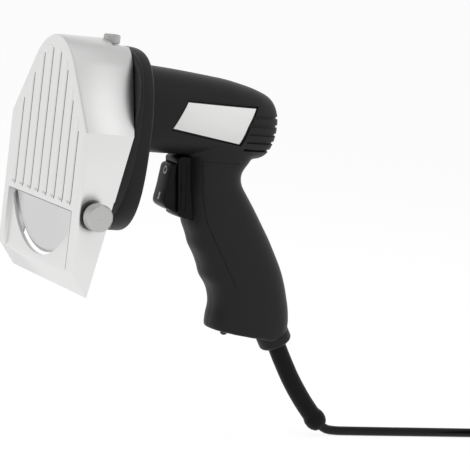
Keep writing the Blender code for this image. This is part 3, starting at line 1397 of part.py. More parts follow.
def add_shells():
    """The left and right shells, which meet on the middle plane, and the screws between them."""
    whole = body_form()
    far_x = GRIP_FRONT_X + GRIP_SPAN + OVERRUN
    for name, side in (("left_shell", -1), ("right_shell", 1)):
        low = (GEAR_ROOM_REAR_X, side * GAP / 2, GRIP_BASE_Z * 2)
        high = (far_x, side * BARREL_HALF_WIDTH * 2, BARREL_TOP_Z + OVERRUN)
        combine(add_object(name, block(low, high), "black_plastic"), whole, "INTERSECT")
    for name, (x, z), seat in shell_screw_places():
        head_front = seat + GAP + SCREW_HEAD
        add_screw(f"shell_screw_{name}", head_front, SHELL_SCREW_LENGTH, (x, 0, z), "Y", -1)
    foot = (STUD_FOOT_X, 0, 0)
    base = grip_base_z(STUD_FOOT_X)
    stud = rod(base - STUD_FOOT_DROP, base + STUD_FOOT_REACH - GAP, STUD_FOOT_RADIUS, SMALL_SIDES, foot, "Z")
    add_object("base_stud", stud, "steel")


def add_label():
    """The bare label, curved with the barrel's side."""
    label = add_object("label_plate", label_prism(0), "label_white")
    outer = LABEL_POCKET_DEPTH - GAP - LABEL_THICKNESS
    combine(label, add_cutter("label_outer", barrel(outer)), "INTERSECT")
    combine(label, add_cutter("label_inner", barrel(LABEL_POCKET_DEPTH - GAP)))


# Shares of the rocker's reach from its pivot, across and up, round its outline
ROCKER_SHARES = (
    (-0.381, 0.921),
    (-0.525, 0.784),
    (-0.561, 0.129),
    (-0.683, -0.518),
    (-0.619, -0.741),
    (-0.396, -0.892),
    (-0.050, -0.978),
    (0.144, -0.576),
    (0.216, 0.000),
    (0.144, 0.576),
    (-0.036, 0.950),
)


def add_switch():
    """The switch body in front of the grip, and the rocker that turns on its two pins."""
    half = SWITCH_HALF_WIDTH
    body = add_object("switch_body", side_slab(switch_outline(), -half, half), "switch_plastic")
    pivot = (ROCKER_PIVOT_X, 0, ROCKER_PIVOT_Z)
    room_half = half - SWITCH_WALL
    rocker_half = room_half - GAP
    room = rod(-room_half, room_half, ROCKER_REACH + GAP, ROUND_SIDES * 2, pivot, "Y")
    combine(body, add_cutter("rocker_room", room))
    pins = rod(-half - GAP, half + GAP, ROCKER_PIN_RADIUS + GAP, SMALL_SIDES, pivot, "Y")
    combine(body, add_cutter("rocker_pin_holes", pins))
    slots = []
    front = SWITCH_REAR_X - TERMINAL_SEAT
    for number, y in enumerate((-TERMINAL_Y, TERMINAL_Y), 1):
        flat = TERMINAL_THICKNESS / 2
        tall = TERMINAL_WIDTH / 2
        low = (front + GAP, y - flat, ROCKER_PIVOT_Z - tall)
        high = (front + TERMINAL_LENGTH, y + flat, ROCKER_PIVOT_Z + tall)
        add_object(f"switch_terminal_{number}", block(low, high), "brass")
        low = (front, y - flat - GAP, ROCKER_PIVOT_Z - tall - GAP)
        high = (SWITCH_REAR_X + OVERRUN, y + flat + GAP, ROCKER_PIVOT_Z + tall + GAP)
        slots.append(block(low, high))
    combine(body, add_cutter("terminal_slots", merge(slots)))
    reach = ROCKER_REACH
    outline = [(ROCKER_PIVOT_X + reach * x, ROCKER_PIVOT_Z + reach * z) for x, z in ROCKER_SHARES]
    paddle = side_slab(outline, -rocker_half, rocker_half)
    rocker = add_object("switch_rocker", paddle, "switch_plastic", pivot)
    pin = rod(GAP - half, half - GAP, ROCKER_PIN_RADIUS, SMALL_SIDES, pivot, "Y")
    combine(rocker, add_cutter("rocker_pin", pin), "UNION")


def add_leads():
    """The two insulated leads from the switch terminals up to the brush holders."""
    start_x = SWITCH_REAR_X - TERMINAL_SEAT + TERMINAL_LENGTH + GAP
    brush_x = commutator_x() + COMMUTATOR_LENGTH / 2
    top = MOTOR_Z - BRUSH_HEIGHT / 2 - HOLDER_WALL - 2 * GAP
    for number, (side, finish) in enumerate(((-1, "blue_wire"), (1, "red_wire")), 1):
        y = side * TERMINAL_Y
        wall_y = side * PASSAGE_HALF_WIDTH
        route = [
            (start_x, y, ROCKER_PIVOT_Z),
            (start_x + 2 * LEAD_RADIUS, y, ROCKER_PIVOT_Z + LEAD_RADIUS),
            (PASSAGE_REAR_X - 2 * LEAD_RADIUS, y, 0),
            (PASSAGE_REAR_X - 3 * LEAD_RADIUS, y * 1.2, BARREL_BOTTOM_Z),
            (brush_x + 4 * LEAD_RADIUS, wall_y * 0.82, (BARREL_BOTTOM_Z + top) / 2),
            (brush_x + LEAD_RADIUS, wall_y * 0.98, top - 4 * LEAD_RADIUS),
            (brush_x, wall_y, top - LEAD_RADIUS),
            (brush_x, wall_y, top),
        ]
        add_cord(f"motor_lead_{number}", smooth_route(route, LEAD_RADIUS * 5), LEAD_RADIUS, finish)


def add_collar():
    """The cord's collar at the grip's rear corner, turned about the sleeve's axis."""
    bore = SLEEVE_RADIUS + GAP
    round_off = COLLAR_RADIUS / 4
    neck = COLLAR_NECK_RADIUS
    profile = [
        (-COLLAR_NECK, bore),
        (-COLLAR_NECK, neck),
        (GAP, neck),
        (GAP, COLLAR_RADIUS),
        (COLLAR_LENGTH - round_off, COLLAR_RADIUS),
        (COLLAR_LENGTH - round_off * 0.3, COLLAR_RADIUS - round_off * 0.3),
        (COLLAR_LENGTH, COLLAR_RADIUS - round_off),
        (COLLAR_LENGTH, bore),
    ]
    add_object("cord_collar", along_sleeve(turned(profile)), "black_plastic")


# Hand-picked points: the sleeve's bend outside the collar, then the cord's run along the surface
SLEEVE_ROUTE = (
    (0.1560, 0.0, -0.0961),
    (0.1621, 0.0, -0.1066),
    (0.1696, 0.0, -0.1184),
    (0.1785, 0.0, -0.1301),
    (0.1875, 0.0, -0.1401),
    (0.1921, 0.0, -0.1443),
)
CORD_ROUTE = (
    (0.1924, 0.0, -0.1446),
    (0.1968, 0.0, -0.1470),
    (0.2030, 0.0, -0.14785),
    (0.2150, 0.0, -0.1480),
    (0.2700, 0.0, -0.1480),
    (0.3050, 0.0, -0.1480),
    (0.3303, 0.0, -0.1480),
)
INNER_CORD_ROUTE = (
    (0.1493, 0.0, -0.0846),
    (0.1466, 0.0, -0.0801),
    (0.1440, 0.0, -0.0755),
    (0.1395, 0.0, -0.0650),
    (0.1340, 0.0, -0.0520),
    (0.1265, 0.0, -0.0380),
    (0.1170, 0.0, -0.0260),
    (0.1110, 0.0, -0.0190),
)
TAIL_ROUTE = (
    (0.3417, 0.0, -0.1303),
    (0.3520, 0.0, -0.1304),
    (0.3620, 0.0, -0.1314),
    (0.3750, 0.0, -0.1355),
    (0.3900, 0.0, -0.1410),
    (0.4030, 0.0, -0.1437),
    (0.4120, 0.0, -0.14385),
    (0.4200, 0.0, -0.14385),
)


def coil_point(turn):
    """A point of the piled coil after so many turns, which spirals in and out again layer by layer."""
    layer_turns = COIL_LAYER_TURNS
    layer = min(int(turn / layer_turns), COIL_LAYERS - 1)
    within = turn - layer * layer_turns
    inward = within if layer % 2 == 0 else layer_turns - within
    radius = COIL_OUTER_RADIUS - COIL_PITCH * inward
    height = 0
    for step in range(1, COIL_LAYERS):
        climb = min(1, max(0, 2 * (turn - step * layer_turns) + 0.5))
        height += COIL_PITCH * climb ** 2 * (3 - 2 * climb)
    angle = math.pi / 2 - math.tau * turn
    centre_y = -COIL_OUTER_RADIUS
    return (COIL_CENTRE_X + radius * math.cos(angle), centre_y + radius * math.sin(angle), CORD_Z + height)


def coil_points():
    """All the coil's points, evenly stepped, with a short straight length at each end."""
    total = COIL_LAYERS * COIL_LAYER_TURNS * COIL_LOOP_POINTS
    points = [Vector(coil_point(i / COIL_LOOP_POINTS)) for i in range(total + 1)]
    straight = Vector((2 * CORD_RADIUS, 0, 0))
    return [points[0] - straight, *points, points[-1] + straight]


def report_cord(points, *others):
    """Print the cord's full length and the least gap between the coil's turns."""
    gap = min(
        (points[i] - points[j]).length - 2 * CORD_RADIUS
        for i in range(len(points))
        for j in range(i + COIL_LOOP_POINTS // 2, len(points))
    )
    routes = [points, *others]
    length = sum((b - a).length for route in routes for a, b in zip(route, route[1:]))
    print(f"coil least gap {gap * 1000:.2f} mm, cord length {length:.3f} m of {CORD_LENGTH} m")


def add_cords():
    """The sleeve, the cord inside the grip, the free cord, its coil and the tail to the plug."""
    start = [Vector(sleeve_axis(d)) for d in (-COLLAR_NECK, 0, COLLAR_LENGTH / 2)]
    sleeve = [*start[:1], *smooth_route([start[1], *SLEEVE_ROUTE], SLEEVE_RADIUS)]
    add_cord("strain_relief", sleeve, SLEEVE_RADIUS, "rubber", 3)
    add_cord("inner_cord", smooth_route(INNER_CORD_ROUTE, CORD_RADIUS * 5), CORD_RADIUS, "rubber")
    run = smooth_route(CORD_ROUTE, CORD_RADIUS * 5)
    add_cord("power_cord", run, CORD_RADIUS, "rubber")
    coil = coil_points()
    add_cord("cord_coil", coil, CORD_RADIUS, "rubber", 1)
    tail = smooth_route(TAIL_ROUTE, CORD_RADIUS * 5)
    add_cord("cord_tail", tail, CORD_RADIUS, "rubber")
    report_cord(coil, run, tail)


def add_plug():
    """The flat two-pin plug at the end of the cord."""
    end = Vector(TAIL_ROUTE[-1])
    neck_end = end.x + PLUG_NECK_LENGTH + OVERRUN
    neck = rod(end.x + GAP, neck_end, PLUG_NECK_RADIUS, SMALL_SIDES, (0, end.y, end.z))
    plug = add_object("plug_body", neck, "rubber")
    front = end.x + PLUG_NECK_LENGTH
    corner = PLUG_HEIGHT / 3
    half = PLUG_WIDTH / 2
    low_z = end.z - PLUG_HEIGHT / 2
    high_z = end.z + PLUG_HEIGHT / 2
    outline = [
        (front, end.y - PLUG_NECK_RADIUS),
        (front + corner, end.y - half + corner),
        (front + 2 * corner, end.y - half),
        (front + PLUG_LENGTH, end.y - half),
        (front + PLUG_LENGTH, end.y + half),
        (front + 2 * corner, end.y + half),
        (front + corner, end.y + half - corner),
        (front, end.y + PLUG_NECK_RADIUS),
    ]
    body = loft([[(x, y, z) for x, y in outline] for z in (low_z, high_z)])
    combine(plug, add_cutter("plug_form", body), "UNION")
    pins = []
    for side in (-1, 1):
        centre = (0, end.y + side * PLUG_PIN_SPACING / 2, end.z)
        face = front + PLUG_LENGTH
        pins.append(rod(face - OVERRUN, face + PLUG_PIN_LENGTH, PLUG_PIN_RADIUS, SMALL_SIDES, centre))
    combine(plug, add_cutter("plug_pins", merge(pins)), "UNION")


def build():
    """Make the whole slicer."""
    add_guard()
    add_side_knob()
    add_top_knob()
    add_blade()
    add_hub()
    add_spindle()
    add_gears()
    add_gear_cover()
    add_cover_screws()
    add_gear_housing()
    add_housing_screws()
    add_armature()
    add_fan()
    add_stator()
    add_bearings_and_brushes()
    add_shells()
    add_label()
    add_switch()
    add_leads()
    add_collar()
    add_cords()
    add_plug()


clear_scene()
DATUM = make_datum()
FINISHES = make_materials()
build()
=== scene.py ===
"""The dressed electric kebab slicer: fine pieces, finishes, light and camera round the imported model."""
import json
import math

import bmesh
import bpy
from mathutils import Matrix, Vector


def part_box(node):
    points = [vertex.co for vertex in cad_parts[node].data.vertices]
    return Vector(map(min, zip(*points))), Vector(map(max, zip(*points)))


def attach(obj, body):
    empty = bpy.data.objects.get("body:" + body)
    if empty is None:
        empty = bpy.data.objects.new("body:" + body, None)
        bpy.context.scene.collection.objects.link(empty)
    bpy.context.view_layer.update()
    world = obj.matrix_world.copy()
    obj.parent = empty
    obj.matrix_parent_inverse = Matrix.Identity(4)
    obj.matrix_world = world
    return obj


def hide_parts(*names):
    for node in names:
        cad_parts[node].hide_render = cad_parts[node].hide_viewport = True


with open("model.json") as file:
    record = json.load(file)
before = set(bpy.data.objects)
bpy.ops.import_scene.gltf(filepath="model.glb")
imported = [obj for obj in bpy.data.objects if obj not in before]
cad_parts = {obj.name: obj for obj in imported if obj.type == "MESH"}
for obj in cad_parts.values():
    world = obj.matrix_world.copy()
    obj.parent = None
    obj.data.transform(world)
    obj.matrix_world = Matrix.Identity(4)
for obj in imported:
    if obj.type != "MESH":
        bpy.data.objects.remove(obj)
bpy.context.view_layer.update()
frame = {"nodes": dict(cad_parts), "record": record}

# Lengths are in metres, in the tool's own frame: X back from the guard, Y away from the viewer, Z up.
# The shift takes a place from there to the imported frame.
TOOL_SHIFT = Vector((-0.121, 0, 0.045))

# The photograph's view
VIEW_AZIMUTH = math.radians(-27.373)
VIEW_ELEVATION = math.radians(7.126)
VIEW_ROLL = math.radians(6.916)
VIEW_DISTANCE = 1.3699
VIEW_AIM = Vector((0.1218, 0, -0.0352))
PHOTO_WIDTH_PX = 470
FOCAL_PX = 2414.4
SENSOR_MM = 36
CLIP_START = 0.01

# Guard
GUARD_HALF_WIDTH = 0.053
GUARD_CROWN_RADIUS = 0.0342
GUARD_CROWN_Z = 0.0346
GUARD_CREASE_Z = 0.0215
GUARD_BOTTOM_Z = -0.066
GUARD_WALL = 0.0018
GUARD_FRONT_WALL = 0.0024
GUARD_REAR_X = 0.0238
GUARD_REAR_SLOPE = 0.195
GUARD_ROUND = 0.0016
GUARD_ROUND_STEPS = 5
CROWN_STEPS = 40
SHELF_Z = 0.066
SHELF_FRONT_X = 0.0275
TOE_TOP_Z = -0.052
TOE_LIP_X = 0.0109
RECESS_HALF_WIDTH = 0.0455
RECESS_TOP_Z = -0.02095
RECESS_TOP_DEPTH = 0.0030
RECESS_TOE_DEPTH = 0.0020
RECESS_FLOOR = 0.0011
MOUTH_TOP_Z = -0.0225
BLADE_RADIUS = 0.050
BLADE_FRONT_X = 0.0044
BLADE_THICKNESS = 0.0016
MOUTH_GAP = 0.0013
FLUTE_PITCH = 0.0114
FLUTE_RADIUS = 0.0042
FLUTE_DEPTH = 0.0011
FLUTE_LOWER_Z = -0.0160
# Fine grooves beside the flutes, under the recess's top and at its rim, whose floors are painted dark as
# shade
FLUTE_LINE_WIDTH = 0.0010
FLUTE_LINE_DEPTH = 0.00012
RECESS_LINE_DEPTH = 0.0005
RECESS_LINE_HEIGHT = 0.0013
FLUTE_INSET = 0.0075
FLUTE_PAIRS = 4
FLUTE_WIDTH_SHARE = 0.70
FLUTE_DEPTH_SHARES = (0.0, 0.25, 0.55, 0.85, 1.0)
FLUTE_DRAW_IN_SHARE = 0.45
FLUTE_END_SHARE = 0.55
FLUTE_END_STEPS = 12
FLUTE_HOOK = 0.0022
FLUTE_HOOK_SHARE = 0.2
GUARD_EDGE_ROUND = 0.00035
MOUTH_STEPS = 64
# A face whose normal's X is below this looks forward
FRONT_FACING = -0.99
SLOT_STEPS = 24
# How far a cut runs past what it cuts, and the clearance of pieces that fit
OVERRUN = 0.004
FIT = 0.0003

# Blade
BLADE_BORE_RADIUS = 0.0052
DRIVE_HOLE_RADIUS = 0.0017
DRIVE_HOLE_REACH = 0.009
# The blade's rim: back from its front face, and in from its full radius
BLADE_RIM_ROWS = ((0, 0.0020), (0.00008, 0.0018), (0.0009, 0.0001), (0.0011, 0), (BLADE_THICKNESS, 0.0004))

# Knobs
SIDE_KNOB_X = 0.0102
SIDE_KNOB_Z = -0.022
SIDE_KNOB_RADIUS = 0.0074
SIDE_KNOB_HEIGHT = 0.0095
SIDE_KNOB_HEAD = 0.0066
SIDE_KNOB_NECK_RADIUS = 0.0066
SIDE_SEAT_DEPTH = 0.0008
STUD_RADIUS = 0.0020
TOP_KNOB_X = 0.0323
TOP_KNOB_RADIUS = 0.0046
TOP_KNOB_HEIGHT = 0.0051
KNURLS = 32
KNURL_POINTS = 4
KNURL_DEPTH = 0.00028
DRIVER_SLOT_HALF_WIDTH = 0.0005
DRIVER_SLOT_DEPTH = 0.0008
# Depths and radii of the side knob's centre dimple
DIMPLE_ROWS = ((0.0003, 0), (0.00025, 0.0005), (0, 0.0009))
# The side knob's front rim: back from its face, and in from its full radius
KNOB_RIM_ROWS = ((0, 0.0011), (0.00015, 0.00085), (0.00085, 0.00015), (0.0011, 0))
KNOB_BACK_CHAMFER = 0.0003
KNOB_NECK_MARGIN = 0.0001
# Heights on the top knob, and the shares of its radius there
TOP_KNOB_ROWS = ((0, 0.86), (0.0006, 1.0), (0.0043, 1.0), (0.0049, 0.90), (TOP_KNOB_HEIGHT, 0.80))

# Flange
FLANGE_HALF_WIDTH = 0.0515
FLANGE_HALF_HEIGHT = 0.0503
FLANGE_SQUARENESS = 2.44
FLANGE_Z = 0.0151
FLANGE_GAP = 0.0005
FLANGE_REAR_X = 0.0452
FLANGE_REAR_SLOPE = 0.022
FLANGE_SWEEP = 0.0066
FLANGE_INNER_SWEEP = 0.0073
FLANGE_SWEEP_POWER = 1.6
FLANGE_ROUND = 0.0018
FLANGE_SIDES = 128
FLANGE_LAP = 0.0036
FLANGE_FRONT_ROUND = 0.0007
FLANGE_FRONT_SHARE = 0.3
FLANGE_CORE_SHARE = 0.9
FLANGE_MERGE_ANGLE = 0.02
# How far the fine flange stands proud of the solid one that it encloses
FLANGE_SKIN = 0.00004
SEAM_X = 0.0303
SEAM_SLOPE = 0.095
SEAM_WIDTH = 0.0005
SEAM_DEPTH_SHARE = 0.8

# Body shells
MOTOR_Z = 0.0326
BARREL_HALF_WIDTH = 0.024
BARREL_TOP_Z = 0.0572
BARREL_BOTTOM_Z = 0.0086
BARREL_REAR_X = 0.135
BARREL_SQUARENESS = 2.25
GRIP_SQUARENESS = 2.5
GRIP_TOP_Z = 0.020
GRIP_BASE_Z = -0.089
GRIP_BASE_FRONT_X = 0.1106
GRIP_BASE_SLOPE = -0.115
GRIP_FRONT_X = 0.0865
GRIP_SPAN = 0.0773
GRIP_HALF_WIDTH = 0.0175
SHELL_WALL = 0.0025
RING_POINTS = 72
VOXEL = 0.0011
SMOOTHING = {"factor": 0.5, "iterations": 7}
FRONT_CUT_HALF_STEPS = 24

# Mesh work: places nearer than this are one, and digits by which a vertex is found again
MERGE_DISTANCE = 1e-6
PLACE_DIGITS = 7
AXES = {"X": Vector((1, 0, 0)), "Y": Vector((0, 1, 0)), "Z": Vector((0, 0, 1))}


def rear_edge_x(z):
    """The slanted rear edge of the guard."""
    return GUARD_REAR_X + GUARD_REAR_SLOPE * z


def flange_rear_x(y, z, sweep=FLANGE_SWEEP):
    """The flange's rear face, swept forward at its sides, which the shells' front ends follow."""
    return FLANGE_REAR_X + FLANGE_REAR_SLOPE * z - sweep * (abs(y) / FLANGE_HALF_WIDTH) ** FLANGE_SWEEP_POWER


def aim_camera():
    """The camera at the photograph's place, angle and roll."""
    right = Vector((math.cos(VIEW_AZIMUTH), math.sin(VIEW_AZIMUTH), 0))
    flat = math.cos(VIEW_ELEVATION)
    back = Vector((math.sin(VIEW_AZIMUTH) * flat, -math.cos(VIEW_AZIMUTH) * flat, math.sin(VIEW_ELEVATION)))
    up = back.cross(right)
    rolled_right = math.cos(VIEW_ROLL) * right + math.sin(VIEW_ROLL) * up
    rolled_up = math.cos(VIEW_ROLL) * up - math.sin(VIEW_ROLL) * right
    data = bpy.data.cameras.new("photo_camera")
    data.sensor_width = SENSOR_MM
    data.lens = SENSOR_MM * FOCAL_PX / PHOTO_WIDTH_PX
    data.clip_start = CLIP_START
    camera = bpy.data.objects.new("photo_camera", data)
    turn = Matrix((rolled_right, rolled_up, back)).transposed().to_4x4()
    camera.matrix_world = Matrix.Translation(VIEW_AIM + TOOL_SHIFT + VIEW_DISTANCE * back) @ turn
    bpy.context.scene.collection.objects.link(camera)
    bpy.context.scene.camera = camera


def deselect():
    """Leave edit mode and select nothing."""
    if bpy.context.object and bpy.context.object.mode == "EDIT":
        bpy.ops.object.mode_set(mode="OBJECT")
    bpy.ops.object.select_all(action="DESELECT")


def take_up(piece):
    """Make one piece active and selected on its own."""
    deselect()
    bpy.context.view_layer.objects.active = piece
    piece.select_set(True)


def named(name):
    """The primitive just added, under its own name and with its place in its mesh."""
    piece = bpy.context.active_object
    piece.name = name
    piece.data.name = name
    bpy.ops.object.transform_apply(location=True, rotation=True, scale=True)
    return piece


def apply_modifier(piece, kind, **settings):
    """Finish a piece with one modifier and apply it."""
    take_up(piece)
    modifier = piece.modifiers.new(kind.lower(), kind)
    for key, value in settings.items():
        setattr(modifier, key, value)
    bpy.ops.object.modifier_apply(modifier=modifier.name)
    return piece


def combine(piece, *others, operation="DIFFERENCE"):
    """Cut other shapes from a piece, or join them to it, and remove them."""
    for other in others:
        apply_modifier(piece, "BOOLEAN", operation=operation, solver="EXACT", object=other)
        bpy.data.objects.remove(other)
    return piece


def cylinder(name, radius, start, end, centre, axis="X", sides=64):
    """A round bar from start to end along an axis."""
    deselect()
    middle = (start + end) / 2
    if axis == "X":
        place, turn = (middle, centre[1], centre[2]), (0, math.pi / 2, 0)
    elif axis == "Y":
        place, turn = (centre[0], middle, centre[2]), (math.pi / 2, 0, 0)
    else:
        place, turn = (centre[0], centre[1], middle), (0, 0, 0)
    bpy.ops.mesh.primitive_cylinder_add(
        vertices=sides,
        radius=radius,
        depth=end - start,
        location=place,
        rotation=turn,
    )
    return named(name)


def block(name, low, high):
    """A box between two corners."""
    deselect()
    centre = [(a + b) / 2 for a, b in zip(low, high)]
    bpy.ops.mesh.primitive_cube_add(size=1, location=centre)
    bpy.context.active_object.scale = [b - a for a, b in zip(low, high)]
    return named(name)


def place_key(place):
    """A place's rounded coordinates, by which a vertex is found again."""
    return tuple(round(c, PLACE_DIGITS) for c in Vector(place))


def drawn_out(name, rings):
    """A circle set on the first section, extruded on from section to section, and filled at both ends."""
    deselect()
    bpy.ops.mesh.primitive_circle_add(vertices=len(rings[0]), radius=1)
    piece = named(name)
    bpy.ops.object.mode_set(mode="EDIT")
    bpy.ops.mesh.select_all(action="SELECT")
    shape = bmesh.from_edit_mesh(piece.data)
    shape.verts.ensure_lookup_table()
    for vertex, place in zip(shape.verts, rings[0]):
        vertex.co = place
    bmesh.update_edit_mesh(piece.data)
    for before, after in zip(rings, rings[1:]):
        bpy.ops.mesh.extrude_edges_move()
        shape = bmesh.from_edit_mesh(piece.data)
        places = {place_key(p): q for p, q in zip(before, after)}
        for vertex in shape.verts:
            if vertex.select:
                vertex.co = places[place_key(vertex.co)]
        bmesh.update_edit_mesh(piece.data)
    bpy.ops.mesh.select_all(action="SELECT")
    bpy.ops.mesh.fill_holes(sides=0)
    bpy.ops.mesh.select_all(action="SELECT")
    bpy.ops.mesh.normals_make_consistent(inside=False)
    bpy.ops.object.mode_set(mode="OBJECT")
    return piece


def slab(name, outline, front, rear):
    """An outline in (y, z) drawn out along X between two faces, which are places or rules of z."""
    rings = []
    for face in (front, rear):
        rings.append([(face(z) if callable(face) else face, y, z) for y, z in outline])
    return drawn_out(name, rings)


def side_slab(name, outline, near, far):
    """An outline in (x, z) drawn out across Y."""
    return drawn_out(name, [[(x, y, z) for x, z in outline] for y in (near, far)])


def turned(name, profile, centre, axis="X", steps=96):
    """A profile of (along, radius) spun once round an axis; its ends lie on that axis or meet."""
    deselect()
    closed = profile[0] != profile[-1] and profile[0][1] > 0
    outline = [*profile, profile[0]] if closed else list(profile)
    bpy.ops.mesh.primitive_circle_add(vertices=3, radius=1)
    piece = named(name)
    bpy.ops.object.mode_set(mode="EDIT")
    shape = bmesh.from_edit_mesh(piece.data)
    shape.clear()
    direction = AXES[axis]
    across = AXES["X"] if axis == "Z" else AXES["Z"]
    middle = Vector(centre)
    middle -= direction * middle.dot(direction)
    points = [shape.verts.new(middle + direction * along + across * radius) for along, radius in outline]
    for a, b in zip(points, points[1:]):
        shape.edges.new((a, b))
    bmesh.update_edit_mesh(piece.data)
    bpy.ops.mesh.select_all(action="SELECT")
    bpy.ops.mesh.spin(steps=steps, angle=math.tau, center=middle, axis=direction)
    bpy.ops.mesh.select_all(action="SELECT")
    bpy.ops.mesh.remove_doubles(threshold=MERGE_DISTANCE)
    bpy.ops.mesh.normals_make_consistent(inside=False)
    bpy.ops.object.mode_set(mode="OBJECT")
    return piece


def copied(original, name):
    """A copy of an object with a mesh of its own, under its own name."""
    piece = original.copy()
    piece.data = original.data.copy()
    piece.name = name
    piece.data.name = name
    bpy.context.scene.collection.objects.link(piece)
    return piece


def refined(node, name, merge_angle=1.0):
    """A copy of a CAD node's mesh, merged into clean faces, in the tool's frame."""
    piece = copied(frame["nodes"][node], name)
    piece.parent = None
    for key in list(piece.keys()):
        del piece[key]
    piece.data.materials.clear()
    take_up(piece)
    bpy.ops.object.mode_set(mode="EDIT")
    bpy.ops.mesh.select_all(action="SELECT")
    bpy.ops.mesh.remove_doubles(threshold=MERGE_DISTANCE)
    bpy.ops.mesh.dissolve_limited(angle_limit=math.radians(merge_angle))
    bpy.ops.mesh.normals_make_consistent(inside=False)
    bpy.ops.object.mode_set(mode="OBJECT")
    piece.data.transform(Matrix.Translation(-TOOL_SHIFT))
    return piece


def rounded(piece, width, segments=3, angle=35):
    """Round the sharp edges of a piece."""
    return apply_modifier(
        piece,
        "BEVEL",
        width=width,
        segments=segments,
        limit_method="ANGLE",
        angle_limit=math.radians(angle),
        use_clamp_overlap=True,
        harden_normals=False,
    )


def declared(piece, body, slot, *nodes):
    """Ride a finished piece on its body and hide the CAD nodes that it stands for; its slot is not used."""
    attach(piece, body)
    if nodes:
        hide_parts(*nodes)
    return piece


def settled(piece, body, slot, *nodes, finish=None, smooth_angle=35):
    take_up(piece)
    bpy.ops.object.shade_smooth_by_angle(angle=math.radians(smooth_angle))
    piece.data.transform(Matrix.Translation(TOOL_SHIFT))
    piece.data.materials.clear()
    piece.data.materials.append(FINISHES[finish or slot])
    return declared(piece, body, slot, *nodes)


def painted(piece, finish, chosen):
    """Give a second finish to the faces that a rule chooses."""
    piece.data.materials.append(FINISHES[finish])
    for face in piece.data.polygons:
        if chosen(face):
            face.material_index = 1


class NodeSheet:
    """A short way to place and join shader nodes."""

    def __init__(self, tree):
        self.tree = tree

    def add(self, kind, **settings):
        """Place a node; its settings are properties, or values of inputs by name."""
        node = self.tree.nodes.new(kind)
        for key, value in settings.items():
            label = key.replace("_", " ").title()
            if label in node.inputs and not hasattr(node, key):
                node.inputs[label].default_value = value
            else:
                setattr(node, key, value)
        return node

    def join(self, source, target):
        """Join an output to an input."""
        self.tree.links.new(source, target)

    def maths(self, operation, a, b=None):
        """A Math node of two values or sockets."""
        node = self.add("ShaderNodeMath", operation=operation)
        for socket, value in zip(node.inputs, (a, b)):
            if isinstance(value, (int, float)):
                socket.default_value = value
            elif value is not None:
                self.join(value, socket)
        return node.outputs[0]


def new_group(name, inputs, outputs):
    """A shader node group with named inputs and outputs, and its sheet and two end nodes."""
    group = bpy.data.node_groups.new(name, "ShaderNodeTree")
    for label, kind, value in inputs:
        socket = group.interface.new_socket(label, in_out="INPUT", socket_type=kind)
        socket.default_value = value
    for label, kind in outputs:
        group.interface.new_socket(label, in_out="OUTPUT", socket_type=kind)
    sheet = NodeSheet(group)
    return group, sheet, sheet.add("NodeGroupInput"), sheet.add("NodeGroupOutput")


FLOAT = "NodeSocketFloat"
COLOUR = "NodeSocketColor"
VECTOR = "NodeSocketVector"
BROAD_PATCHES_PER_METRE = 60.0
HALF = 0.5
# Pointiness past which an edge counts as raised, and how fast the wear grows from there
WEAR_POINTINESS = 0.52
WEAR_GAIN = 12.0
# Where a Mix node keeps its two colours and its result
MIX_FIRST, MIX_SECOND, MIX_RESULT = 6, 7, 2


def make_grain_group():
    """Fine all-over grain: a varied colour, a varied roughness and a bumped normal."""
    group, sheet, start, end = new_group(
        "surface_grain",
        [
            ("Colour", COLOUR, (0.5, 0.5, 0.5, 1)),
            ("Colour Change", FLOAT, 0.1),
            ("Roughness", FLOAT, 0.5),
            ("Roughness Change", FLOAT, 0.1),
            ("Grains Per Metre", FLOAT, 900.0),
            ("Depth", FLOAT, 0.00004),
        ],
        [("Colour", COLOUR), ("Roughness", FLOAT), ("Normal", VECTOR)],
    )
    place = sheet.add("ShaderNodeTexCoord").outputs["Object"]
    fine = sheet.add("ShaderNodeTexNoise", detail=3.0, roughness=0.6)
    broad = sheet.add("ShaderNodeTexNoise", scale=BROAD_PATCHES_PER_METRE, detail=4.0)
    for noise in (fine, broad):
        sheet.join(place, noise.inputs["Vector"])
    sheet.join(start.outputs["Grains Per Metre"], fine.inputs["Scale"])
    halves = [sheet.maths("MULTIPLY", noise.outputs["Fac"], HALF) for noise in (fine, broad)]
    centred = sheet.maths("SUBTRACT", sheet.maths("ADD", *halves), HALF)
    brighter = sheet.maths("ADD", 1.0, sheet.maths("MULTIPLY", centred, start.outputs["Colour Change"]))
    scaled = sheet.add("ShaderNodeVectorMath", operation="SCALE")
    sheet.join(start.outputs["Colour"], scaled.inputs[0])
    sheet.join(brighter, scaled.inputs["Scale"])
    sheet.join(scaled.outputs[0], end.inputs["Colour"])
    rougher = sheet.maths("MULTIPLY", centred, start.outputs["Roughness Change"])
    sheet.join(sheet.maths("ADD", start.outputs["Roughness"], rougher), end.inputs["Roughness"])
    bump = sheet.add("ShaderNodeBump", strength=1.0)
    sheet.join(start.outputs["Depth"], bump.inputs["Distance"])
    sheet.join(fine.outputs["Fac"], bump.inputs["Height"])
    sheet.join(bump.outputs["Normal"], end.inputs["Normal"])
    return group


